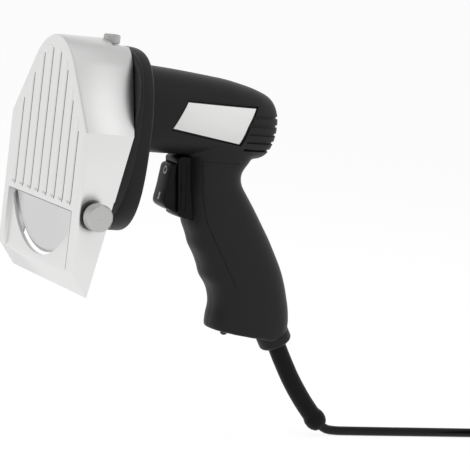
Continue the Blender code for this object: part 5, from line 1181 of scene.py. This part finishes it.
def add_gear_housing():
    """The black housing: the CAD neck and gear room, with a finely rounded flange and its parting line."""
    housing = refined("gear_housing", "gear_housing_body", FLANGE_MERGE_ANGLE)
    small = FLANGE_FRONT_ROUND
    rings = [
        front_ring(FLANGE_LAP, 0),
        front_ring(small, 0),
        front_ring(small * FLANGE_FRONT_SHARE, small * FLANGE_FRONT_SHARE),
        front_ring(0, small),
        seam_ring(0, -SEAM_WIDTH / 2),
        seam_ring(SEAM_WIDTH * SEAM_DEPTH_SHARE, 0),
        seam_ring(0, SEAM_WIDTH / 2),
    ]
    for degrees in range(0, 91, 10):
        a = math.radians(degrees)
        shift = FLANGE_SKIN + FLANGE_ROUND * (math.sin(a) - 1)
        points = flange_edge(FLANGE_ROUND * (1 - math.cos(a)))
        rings.append([(flange_rear_x(y, z) + shift, y, z) for y, z in points])
    inner = flange_edge(FLANGE_LAP)
    rings.append([(flange_rear_x(y, z, FLANGE_INNER_SWEEP) + FLANGE_SKIN, y, z) for y, z in inner])
    skin = drawn_out("flange_skin", rings)
    core = flange_edge(FLANGE_LAP * FLANGE_CORE_SHARE)
    combine(skin, slab("flange_core", core, -GUARD_HALF_WIDTH, GUARD_HALF_WIDTH * 2))
    combine(housing, skin, operation="UNION")
    settled(housing, "tool_body", "body_plastic", "gear_housing", smooth_angle=28)


# Shares of the barrel's length, then of its height lost at the top and bottom, then of its width
BARREL_ROWS = (
    (0.000, 0.000, 0.000, 1.000),
    (0.326, 0.040, 0.000, 1.000),
    (0.547, 0.078, 0.000, 0.985),
    (0.642, 0.097, 0.000, 0.965),
    (0.737, 0.129, 0.000, 0.913),
    (0.863, 0.186, 0.000, 0.826),
    (0.947, 0.250, 0.042, 0.685),
    (0.990, 0.358, 0.210, 0.478),
    (1.000, 0.484, 0.330, 0.292),
)
# Shares of the grip's height down from its top, then of its depth at the front and at the rear
GRIP_ROWS = (
    (0.000, -0.060, 0.537),
    (0.110, -0.047, 0.466),
    (0.174, -0.034, 0.408),
    (0.232, -0.022, 0.418),
    (0.284, -0.010, 0.471),
    (0.339, 0.004, 0.531),
    (0.394, 0.018, 0.588),
    (0.450, 0.028, 0.644),
    (0.505, 0.067, 0.698),
    (0.573, 0.120, 0.757),
    (0.668, 0.191, 0.834),
    (0.727, 0.238, 0.870),
    (0.811, 0.306, 0.909),
    (0.872, 0.327, 0.933),
    (0.936, 0.316, 0.949),
)
# Finger ridges on the grip's front: level, height of the swell and how far it stands out
FINGER_RIDGES = ((-0.0420, 0.0040, 0.0013), (-0.0590, 0.0040, 0.0014))
RIDGE_NARROWING = 6
GRIP_BASE_ROUND = 0.0012
# Rings of the rounded base: shares of its round drawn in, and lifted
BASE_ROUND_SHARES = ((0, 1), (0.3, 0.3), (1, 0))
BARREL_EASE_STEPS = 5
GRIP_EASE_STEPS = 4

# Grooves at the barrel's rear, and the line that bounds the grip's side panel
RIB_COUNT = 5
RIB_PITCH = 0.0047
RIB_WIDTH = 0.0016
RIB_DEPTH = 0.0007
RIB_ROUND_SHARE = 0.3
RIB_FRONT_X = 0.112
RIB_TOP_Z = 0.0340
PANEL_LINE = (
    (0.1107, 0.0072),
    (0.0889, 0.0069),
    (0.0913, -0.0109),
    (0.0959, -0.0273),
    (0.1066, -0.0442),
    (0.1183, -0.0628),
)
PANEL_LINE_WIDTH = 0.0005
PANEL_LINE_DEPTH = 0.00035
# Shares of the grip's half width between which a panel's line is cut
PANEL_CUT_SHARES = (0.3, 1.3)

# Bare label and its pocket
LABEL_CORNERS = ((0.0719, 0.0395), (0.1153, 0.0388), (0.1074, 0.0184), (0.0646, 0.0246))
LABEL_POCKET_DEPTH = 0.0007
LABEL_THICKNESS = 0.0003
LABEL_MARGIN = 0.0012
LABEL_REAR_SHARE = 1.5
LABEL_EDGE_HOLLOW = 0.0009

# Rooms inside the shells: the motor's as (x, radius), the grip's between two shares of its height, and the
# low and high corners of two boxes
MOTOR_ROOM_PROFILE = (
    (0.0365, 0),
    (0.0365, 0.0048),
    (0.052, 0.0048),
    (0.052, 0.0208),
    (0.0644, 0.0208),
    (0.0644, 0.0193),
    (0.0936, 0.0193),
    (0.1046, 0.0165),
    (0.1137, 0.0137),
    (0.121, 0.0107),
    (0.121, 0.0083),
    (0.1268, 0.0083),
    (0.1268, 0),
)
GRIP_ROOM_SHARES = (0.25, 0.90)
PASSAGE = ((0.099, -0.010, -0.01225), (0.113, 0.010, 0.0226))
HOLDER_SEATS = ((0.0956, -0.0178, 0.0285), (0.1048, 0.0178, 0.0367))
# Each shell screw's (x, z), and how far its head's seat lies from the middle plane
SHELL_SCREWS = (
    ((0.0495, 0.0519), 0.008),
    ((0.1285, 0.0206), 0.012),
    ((0.1182, 0.0143), 0.00875),
    ((0.1156, -0.0840), 0.00583),
)
SCREW_BORE_RADIUS = 0.0018
SCREW_HEAD_RADIUS = 0.0031
SCREW_LENGTH = 0.0153

# Switch
SWITCH_HALF_WIDTH = 0.0085
SWITCH_FRONT_X = 0.0764
SWITCH_REAR_X = 0.100
SWITCH_CHIN_X = 0.0806
SWITCH_CHIN_Z = -0.0250
SWITCH_THROAT_X = 0.0845
SWITCH_BASE_Z = -0.0268
SWITCH_WALL = 0.0012
ROCKER_PIVOT = (0.0807, 0, -0.0096)
ROCKER_REACH = 0.0139
ROCKER_LIP = 0.0034
ROCKER_STEP = 0.0005
ROCKER_ROUND = 0.0007
ROCKER_EASE_STEPS = 6
ROCKER_PIN_RADIUS = 0.0012
PRINT_OFF_Z = -0.0007
PRINT_OFF_RADIUS = 0.0023
PRINT_OFF_HOLE_RADIUS = 0.0013
PRINT_ON_Z = -0.0154
PRINT_ON_HALF_HEIGHT = 0.0020
PRINT_ON_HALF_WIDTH = 0.00075
PRINT_THICKNESS = 0.00006
SWITCH_ROUND = 0.0008
SWITCH_RIB_WIDTH = 0.0006
SWITCH_RIB_DEPTH = 0.0003
PIN_HOLE_RADIUS = 0.0015
SWITCH_RIBS = (((0.0789, 0.0035), (0.0813, -0.0215)), ((0.0817, 0.0045), (0.0843, -0.0232)))
TERMINAL_SEAT = 0.003
TERMINAL_Y = 0.005
# Half width and half height of each terminal's slot
TERMINAL_ROOM = (0.0007, 0.00345)
# The rocker's outline in (x, z) from its pivot, as shares of its reach
ROCKER_ROWS = (
    (-0.360, 0.930),
    (-0.460, 0.865),
    (-0.505, 0.760),
    (-0.520, 0.640),
    (-0.558, 0.330),
    (-0.596, 0.000),
    (-0.646, -0.300),
    (-0.683, -0.540),
    (-0.675, -0.670),
    (-0.619, -0.760),
    (-0.396, -0.892),
    (-0.050, -0.978),
    (0.144, -0.576),
    (0.216, 0.000),
    (0.144, 0.576),
    (-0.036, 0.950),
)

# Base stud
STUD_FOOT_X = 0.122
STUD_FOOT_RADIUS = 0.0020
STUD_FOOT_DROP = 0.0027
STUD_FOOT_REACH = 0.0045
STUD_TIP_SHARE = 0.7


def oval(centre_u, centre_v, half_u, half_v, squareness, count=RING_POINTS):
    """Points of a rounded oval in a plane."""
    points = []
    for i in range(count):
        a = math.tau * (i + 0.5) / count
        u = math.copysign(abs(math.cos(a)) ** (2 / squareness), math.cos(a))
        v = math.copysign(abs(math.sin(a)) ** (2 / squareness), math.sin(a))
        points.append((centre_u + half_u * u, centre_v + half_v * v))
    return points


def barrel(name, inset=0.0):
    """The smooth motor barrel, drawn in by inset, which starts a little inside the flange."""
    height = BARREL_TOP_Z - BARREL_BOTTOM_Z
    front = flange_rear_x(0, MOTOR_Z) + FIT
    length = BARREL_REAR_X - inset - front
    rings = []
    for along, top_loss, bottom_loss, width in eased(BARREL_ROWS, BARREL_EASE_STEPS):
        top = BARREL_TOP_Z - height * top_loss - inset
        bottom = BARREL_BOTTOM_Z + height * max(0, bottom_loss) + inset
        half = BARREL_HALF_WIDTH * min(1, width) - inset
        section = oval(0, (top + bottom) / 2, half, (top - bottom) / 2, BARREL_SQUARENESS)
        x = FLANGE_REAR_X - FLANGE_SWEEP if along == 0 else front + length * along
        rings.append([(x, y, z) for y, z in section])
    return drawn_out(name, rings)


def grip_base_z(x):
    """The grip's slanted underside."""
    return GRIP_BASE_Z + GRIP_BASE_SLOPE * (x - GRIP_BASE_FRONT_X)


def grip(name, inset=0.0, first=0.0, last=1.0):
    """The smooth grip with its finger ridges, drawn in by inset, between two shares of its height."""
    rings = []
    for share, front_share, rear_share in eased(GRIP_ROWS, GRIP_EASE_STEPS):
        if not first <= share <= last:
            continue
        z = GRIP_TOP_Z + (GRIP_BASE_Z - GRIP_TOP_Z) * share
        front = GRIP_FRONT_X + GRIP_SPAN * front_share + inset
        rear = GRIP_FRONT_X + GRIP_SPAN * rear_share - inset
        swell = sum(out * math.exp(-((z - level) / height) ** 2) for level, height, out in FINGER_RIDGES)
        middle, half = (front + rear) / 2, (rear - front) / 2
        ring = []
        for x, y in oval(middle, 0, half, GRIP_HALF_WIDTH - inset, GRIP_SQUARENESS):
            fore = max(0, (middle - x) / half)
            ring.append((x - swell * fore ** RIDGE_NARROWING, y, z))
        rings.append(ring)
    if last == 1.0:
        _, front_share, rear_share = GRIP_ROWS[-1]
        front, rear = GRIP_FRONT_X + GRIP_SPAN * front_share, GRIP_FRONT_X + GRIP_SPAN * rear_share
        for in_share, lift_share in BASE_ROUND_SHARES:
            draw_in, lift = GRIP_BASE_ROUND * in_share, GRIP_BASE_ROUND * lift_share
            half = (rear - front) / 2 - draw_in
            base = oval((front + rear) / 2, 0, half, GRIP_HALF_WIDTH - draw_in, GRIP_SQUARENESS)
            rings.append([(x, y, grip_base_z(x) + lift) for x, y in base])
    return drawn_out(name, rings)


def about_sleeve(piece):
    """Turn a shape made about X so that it lies about the sleeve's axis, with zero on the seam."""
    turn = Matrix.Rotation(SLEEVE_TILT, 4, "Y")
    piece.data.transform(Matrix.Translation(COLLAR_SEAM) @ turn)
    return piece


def line_groove(points, width, near, far):
    """A narrow upright ribbon along a line in (x, z), which is cut through the grip's side."""
    left, right = [], []
    for i, (x, z) in enumerate(points):
        before, after = points[max(i - 1, 0)], points[min(i + 1, len(points) - 1)]
        dx, dz = after[0] - before[0], after[1] - before[1]
        size = math.hypot(dx, dz)
        left.append((x - dz / size * width / 2, z + dx / size * width / 2))
        right.append((x + dz / size * width / 2, z - dx / size * width / 2))
    return side_slab("panel_line", left + right[::-1], near, far)


def label_prism(name, margin):
    """A slab through the barrel's left side with the label's outline, grown by a margin."""
    (ax, az), (bx, bz), (cx, cz), (dx, dz) = LABEL_CORNERS
    rear = margin * LABEL_REAR_SHARE
    corners = [
        (ax - margin, az + margin),
        (bx + rear, bz + margin),
        ((bx + cx) / 2 + rear - LABEL_EDGE_HOLLOW, (bz + cz) / 2),
        (cx + rear, cz - margin),
        (dx - margin, dz - margin),
    ]
    return side_slab(name, corners, -BARREL_HALF_WIDTH * 2, -BARREL_HALF_WIDTH / 2)


def melted_body():
    """Barrel and grip melted into one smooth form that starts at the flange's swept rear face."""
    body = combine(barrel("body_skin"), grip("grip_skin"), operation="UNION")
    apply_modifier(body, "REMESH", mode="VOXEL", voxel_size=VOXEL, adaptivity=0)
    apply_modifier(body, "SMOOTH", **SMOOTHING)
    wide = BARREL_HALF_WIDTH * 2
    across = [wide * (i / FRONT_CUT_HALF_STEPS - 1) for i in range(2 * FRONT_CUT_HALF_STEPS + 1)]
    levels = []
    for z in (-BARREL_TOP_Z, 2 * BARREL_TOP_Z):
        levels.append([(0, -wide, z), *[(flange_rear_x(y, z) + FIT, y, z) for y in across], (0, wide, z)])
    return combine(body, drawn_out("front_cut", levels))


def cut_rooms(body):
    """Cut the switch's window, the rooms for motor, cord and brush holders, and the collar's seat."""
    wide = BARREL_HALF_WIDTH * 2
    half = SWITCH_HALF_WIDTH + FIT
    combine(body, side_slab("switch_window", switch_outline(FIT), -half, half))
    combine(body, turned("motor_rooms", MOTOR_ROOM_PROFILE, (0, 0, MOTOR_Z), steps=48))
    combine(body, grip("grip_room", SHELL_WALL, *GRIP_ROOM_SHARES))
    combine(body, block("passage", *PASSAGE))
    combine(body, block("holder_seats", *HOLDER_SEATS))
    combine(body, about_sleeve(block("seam_cut", (0, -wide, -wide), (wide, wide, wide))))
    neck = cylinder("neck_hole", COLLAR_NECK_RADIUS + FIT, -COLLAR_NECK * 4, OVERRUN, (0, 0, 0))
    combine(body, about_sleeve(neck))


def cut_surface(body):
    """Cut the label's pocket, the grooves at the barrel's rear and the line round each side panel."""
    wide = BARREL_HALF_WIDTH * 2
    pocket = combine(label_prism("label_pocket", LABEL_MARGIN), barrel("pocket_floor", LABEL_POCKET_DEPTH))
    combine(body, pocket)
    floor = barrel("groove_floor", RIB_DEPTH)
    ribs = []
    for i in range(RIB_COUNT):
        z = RIB_TOP_Z - i * RIB_PITCH
        low, high = z - RIB_WIDTH / 2, z + RIB_WIDTH / 2
        rib = block("rib", (RIB_FRONT_X, -wide, low), (BARREL_REAR_X + OVERRUN, wide, high))
        ribs.append(rounded(rib, RIB_WIDTH * RIB_ROUND_SHARE, segments=2))
    grooves = combine(*ribs, operation="UNION")
    combine(body, combine(grooves, floor))
    for side in (-1, 1):
        near, far = sorted(side * GRIP_HALF_WIDTH * share for share in PANEL_CUT_SHARES)
        line = line_groove(PANEL_LINE, PANEL_LINE_WIDTH, near, far)
        combine(body, combine(line, grip("line_floor", PANEL_LINE_DEPTH)))


def cut_screw_holes(body):
    """Cut the four shell screws' bores and mouths, and the base stud's hole."""
    wall = BARREL_HALF_WIDTH + OVERRUN
    for (x, z), seat in SHELL_SCREWS:
        end = seat - SCREW_LENGTH
        combine(body, cylinder("screw_bore", SCREW_BORE_RADIUS, end, seat, (x, 0, z), "Y", sides=24))
        combine(body, cylinder("screw_mouth", SCREW_HEAD_RADIUS, seat, wall, (x, 0, z), "Y", sides=32))
    base = grip_base_z(STUD_FOOT_X)
    low, high = base - OVERRUN, base + STUD_FOOT_REACH
    hole = cylinder("stud_hole", STUD_FOOT_RADIUS + FIT, low, high, (STUD_FOOT_X, 0, 0), "Z", sides=32)
    combine(body, hole)


def add_shells():
    """The two plastic shells: one form, cut for all that they carry, then parted down the middle."""
    body = melted_body()
    cut_rooms(body)
    cut_surface(body)
    cut_screw_holes(body)
    for name, side, node in (("left_skin", -1, "left_shell"), ("right_skin", 1, "right_shell")):
        shell = copied(body, name)
        take_up(shell)
        bpy.ops.object.mode_set(mode="EDIT")
        bpy.ops.mesh.select_all(action="SELECT")
        bpy.ops.mesh.bisect(
            plane_co=(0, side * FIT / 2, 0),
            plane_no=(0, side, 0),
            use_fill=True,
            clear_inner=True,
        )
        bpy.ops.object.mode_set(mode="OBJECT")
        settled(shell, "tool_body", "body_plastic", node, smooth_angle=32)
    bpy.data.objects.remove(body)


def switch_outline(margin=0.0):
    """The switch body's outline in (x, z), grown by a margin."""
    top = BARREL_BOTTOM_Z - FIT + margin
    return [
        (SWITCH_FRONT_X - margin, top - SWITCH_WALL * 1.5),
        (SWITCH_FRONT_X + SWITCH_WALL * 2, top),
        (SWITCH_REAR_X + margin, top),
        (SWITCH_REAR_X + margin, SWITCH_BASE_Z - margin),
        (SWITCH_THROAT_X, SWITCH_BASE_Z - margin),
        (SWITCH_CHIN_X - margin, SWITCH_CHIN_Z - margin),
    ]


def add_label():
    """The bare label, curved with the barrel's side, a little below the skin round its pocket."""
    label = label_prism("bare_label", 0)
    outer = LABEL_POCKET_DEPTH - FIT - LABEL_THICKNESS
    combine(label, barrel("label_outer", outer), operation="INTERSECT")
    combine(label, barrel("label_inner", LABEL_POCKET_DEPTH - FIT))
    settled(label, "tool_body", "label", "label_plate")


def rocker_outline(grow=0.0):
    """The rocker's smooth outline in (x, z), grown by a margin."""
    rows = eased([*ROCKER_ROWS, ROCKER_ROWS[0]], ROCKER_EASE_STEPS)[:-1]
    reach = ROCKER_REACH + grow
    return [(ROCKER_PIVOT[0] + reach * x - grow / 2, ROCKER_PIVOT[2] + reach * z) for x, z in rows]


def add_rocker():
    """The rocker with its lip, its pins and its printed O and I."""
    half = SWITCH_HALF_WIDTH - SWITCH_WALL - FIT
    rocker = side_slab("rocker_paddle", rocker_outline(), -half, half)
    rear = [(x + ROCKER_LIP, z) for x, z in rocker_outline()]
    for side in (-1, 1):
        near, far = sorted((side * (half - ROCKER_STEP), side * half * 2))
        combine(rocker, side_slab("rocker_step", rear, near, far))
    rounded(rocker, ROCKER_ROUND, angle=50)
    reach = SWITCH_HALF_WIDTH - 2 * FIT
    pins = cylinder("rocker_pins", ROCKER_PIN_RADIUS, -reach, reach, ROCKER_PIVOT, "Y", sides=24)
    combine(rocker, pins, operation="UNION")
    settled(rocker, "rocker", "switch_plastic", "switch_rocker", smooth_angle=40)
    for mark in print_marks():
        skin = side_slab("print_skin", rocker_outline(PRINT_THICKNESS), -half, half)
        combine(mark, skin, operation="INTERSECT")
        combine(mark, side_slab("print_core", rocker_outline(), -half, half))
        settled(mark, "rocker", "switch_plastic", finish="switch_print")


def print_marks():
    """Bars along X with the outlines of the O and the I, which pass through the rocker's front."""
    front = ROCKER_PIVOT[0] - ROCKER_REACH
    middle = ROCKER_PIVOT[0] - ROCKER_REACH / 3
    centre = (0, 0, PRINT_OFF_Z)
    ring = cylinder("print_off", PRINT_OFF_RADIUS, front, middle, centre)
    hole = cylinder("print_hole", PRINT_OFF_HOLE_RADIUS, front - OVERRUN, middle + OVERRUN, centre)
    combine(ring, hole)
    low = (front, -PRINT_ON_HALF_WIDTH, PRINT_ON_Z - PRINT_ON_HALF_HEIGHT)
    high = (middle, PRINT_ON_HALF_WIDTH, PRINT_ON_Z + PRINT_ON_HALF_HEIGHT)
    return ring, block("print_on", low, high)


def add_switch():
    """The switch body in front of the grip, with its rocker room and the fine ribs on its sides."""
    half = SWITCH_HALF_WIDTH
    body = side_slab("switch_housing", switch_outline(), -half, half)
    rounded(body, SWITCH_ROUND, angle=20)
    room = half - SWITCH_WALL
    combine(body, cylinder("rocker_room", ROCKER_REACH + FIT, -room, room, ROCKER_PIVOT, "Y", sides=96))
    for (top_x, top_z), (foot_x, foot_z) in SWITCH_RIBS:
        top_rear, foot_rear = top_x + SWITCH_RIB_WIDTH, foot_x + SWITCH_RIB_WIDTH
        line = [(top_x, top_z), (top_rear, top_z), (foot_rear, foot_z), (foot_x, foot_z)]
        for side in (-1, 1):
            near, far = sorted((side * (half - SWITCH_RIB_DEPTH), side * half * 2))
            combine(body, side_slab("switch_rib", line, near, far))
    combine(body, cylinder("pin_holes", PIN_HOLE_RADIUS, FIT - half, half - FIT, ROCKER_PIVOT, "Y", sides=24))
    x, z = SWITCH_REAR_X - TERMINAL_SEAT, ROCKER_PIVOT[2]
    for side in (-1, 1):
        y = side * TERMINAL_Y
        low = (x, y - TERMINAL_ROOM[0], z - TERMINAL_ROOM[1])
        high = (SWITCH_REAR_X + OVERRUN, y + TERMINAL_ROOM[0], z + TERMINAL_ROOM[1])
        combine(body, block("terminal_slot", low, high))
    settled(body, "tool_body", "switch_plastic", "switch_body", smooth_angle=30)


# The collar's front edge: back from the seam's gap, and in from its full radius; and its mouth's chamfer
COLLAR_EDGE_ROWS = ((0, 0.0004), (0.0002, 0.0001), (0.0006, 0))
COLLAR_MOUTH_CHAMFER = 0.0003


def add_collar():
    """The cord's collar at the grip's rear corner, with a rounded lip and a fine seam."""
    bore = SLEEVE_RADIUS + FIT
    round_off = COLLAR_RADIUS / 4
    profile = [(-COLLAR_NECK, bore), (-COLLAR_NECK, COLLAR_NECK_RADIUS), (FIT, COLLAR_NECK_RADIUS)]
    profile += [(FIT + back, COLLAR_RADIUS - within) for back, within in COLLAR_EDGE_ROWS]
    for degrees in range(0, 91, 15):
        a = math.radians(degrees)
        along = COLLAR_LENGTH - round_off * (1 - math.sin(a))
        profile.append((along, COLLAR_RADIUS - round_off * (1 - math.cos(a))))
    profile += [(COLLAR_LENGTH, bore + COLLAR_MOUTH_CHAMFER), (COLLAR_LENGTH - COLLAR_MOUTH_CHAMFER, bore)]
    collar = about_sleeve(turned("sleeve_collar", profile, (0, 0, 0), steps=72))
    settled(collar, "tool_body", "body_plastic", "cord_collar", smooth_angle=30)


def add_base_stud():
    """The small dark stud under the grip, with a rounded tip."""
    base = grip_base_z(STUD_FOOT_X)
    tip = base - STUD_FOOT_DROP
    top = base + STUD_FOOT_REACH - FIT
    radius = STUD_FOOT_RADIUS
    profile = [(tip, 0)]
    for degrees in range(15, 91, 15):
        a = math.radians(degrees)
        profile.append((tip + radius * STUD_TIP_SHARE * (1 - math.cos(a)), radius * math.sin(a)))
    profile += [(top, radius), (top, 0)]
    stud = turned("foot_stud", profile, (STUD_FOOT_X, 0, 0), "Z", steps=40)
    settled(stud, "tool_body", "fastener_steel", "base_stud", finish="dark_stud_and_neck_shade", smooth_angle=40)


def finish_cad_nodes():
    """Give every CAD node that still shows the finish of its slot."""
    slots = {part["node"]: part["material_slot"] for part in frame["record"]["subparts"]}
    for name, node in frame["nodes"].items():
        node.data.materials.clear()
        node.data.materials.append(FINISHES[slots[name]])


# Floor: its side, its gap under the cord, its paint, and how bright and how far it shows as plain white
FLOOR_SIDE = 60
FLOOR_GAP = 0.0001
FLOOR_PAINT = (0.86, 0.86, 0.86, 1)
FLOOR_GLOW = 1.09
FLOOR_WHITE_SHARE = 0.82
# Strengths of the white surround, as metal and as matt surfaces see it
SURROUND_IN_METAL = 0.97
SURROUND_ON_MATT = 0.45
# The darker band that metal sees in the surround: its height, spread and depth
DARK_BAND_RISE = 0.74
DARK_BAND_SPREAD = 0.22
DARK_BAND_DEPTH = 0.35
# Lamps: place, the point that it faces, side, power, and whether metal mirrors it
LAMPS = {
    "key_lamp": ((-0.75, -0.75, 0.85), (0, 0, 0), 1.5, 7.0, False),
    "side_lamp": ((0.55, -0.95, 0.35), (0, 0, 0), 1.1, 2.6, False),
    "top_lamp": ((0.1, 0.15, 1.1), (0, 0, 0), 1.2, 4.0, False),
    "crease_card": ((0.03, -0.17, 0.29), (-0.107, -0.05, 0.066), 0.12, 0.03, True),
}


def white_card(name):
    """A pale floor finish that the camera and mirrors see as white, and that still takes a shadow."""
    material = bpy.data.materials.new(name)
    material.use_nodes = True
    sheet = NodeSheet(material.node_tree)
    material.node_tree.nodes.clear()
    paint = sheet.add("ShaderNodeBsdfDiffuse")
    paint.inputs["Color"].default_value = FLOOR_PAINT
    glow = sheet.add("ShaderNodeEmission")
    glow.inputs["Strength"].default_value = FLOOR_GLOW
    path = sheet.add("ShaderNodeLightPath")
    seen = sheet.maths("MAXIMUM", path.outputs["Is Camera Ray"], path.outputs["Is Glossy Ray"])
    seen = sheet.maths("MAXIMUM", seen, path.outputs["Is Transmission Ray"])
    mix = sheet.add("ShaderNodeMixShader")
    sheet.join(sheet.maths("MULTIPLY", seen, FLOOR_WHITE_SHARE), mix.inputs[0])
    sheet.join(paint.outputs[0], mix.inputs[1])
    sheet.join(glow.outputs[0], mix.inputs[2])
    end = sheet.add("ShaderNodeOutputMaterial")
    sheet.join(mix.outputs[0], end.inputs["Surface"])
    return material


def lamp(name, place, aim, side, power, mirrored):
    """A soft square lamp turned to face a point, which metal mirrors only if told to."""
    data = bpy.data.lights.new(name, "AREA")
    data.size = side
    data.energy = power
    light = bpy.data.objects.new(name, data)
    light.location = place
    light.visible_glossy = mirrored
    light.visible_camera = False
    light.rotation_euler = (Vector(aim) - Vector(place)).to_track_quat("-Z", "Y").to_euler()
    bpy.context.scene.collection.objects.link(light)


def set_floor():
    """A pale floor close under the cord."""
    deselect()
    bpy.ops.mesh.primitive_plane_add(size=FLOOR_SIDE, location=(0, 0, FLOOR_Z + TOOL_SHIFT.z - FLOOR_GAP))
    floor = named("stage_floor")
    floor.data.materials.append(white_card("stage_white"))


def set_surround():
    """A white surround, which metal sees with a soft darker band and matt surfaces see dimmer."""
    world = bpy.data.worlds.new("soft_surround")
    bpy.context.scene.world = world
    world.use_nodes = True
    sheet = NodeSheet(world.node_tree)
    surround = world.node_tree.nodes["Background"]
    surround.inputs["Color"].default_value = (1, 1, 1, 1)
    path = sheet.add("ShaderNodeLightPath")
    seen = sheet.maths("MAXIMUM", path.outputs["Is Camera Ray"], path.outputs["Is Transmission Ray"])
    parts = sheet.add("ShaderNodeSeparateXYZ")
    sheet.join(sheet.add("ShaderNodeTexCoord").outputs["Generated"], parts.inputs[0])
    rise = sheet.maths("SUBTRACT", parts.outputs["Z"], DARK_BAND_RISE)
    away = sheet.maths("DIVIDE", rise, DARK_BAND_SPREAD)
    band = sheet.maths("EXPONENT", sheet.maths("MULTIPLY", sheet.maths("MULTIPLY", away, away), -1.0))
    bright = sheet.maths("SUBTRACT", SURROUND_IN_METAL, sheet.maths("MULTIPLY", band, DARK_BAND_DEPTH))
    seen = sheet.maths("MAXIMUM", seen, sheet.maths("MULTIPLY", path.outputs["Is Glossy Ray"], bright))
    sheet.join(sheet.maths("MAXIMUM", seen, SURROUND_ON_MATT), surround.inputs["Strength"])


aim_camera()
add_cords()
add_guard()
add_blade()
add_side_knob()
add_top_knob()
add_gear_housing()
add_shells()
add_label()
add_switch()
add_rocker()
add_collar()
add_base_stud()
finish_cad_nodes()
set_floor()
set_surround()
for lamp_name, lamp_values in LAMPS.items():
    lamp(lamp_name, *lamp_values)
bpy.context.scene.view_settings.view_transform = "Standard"
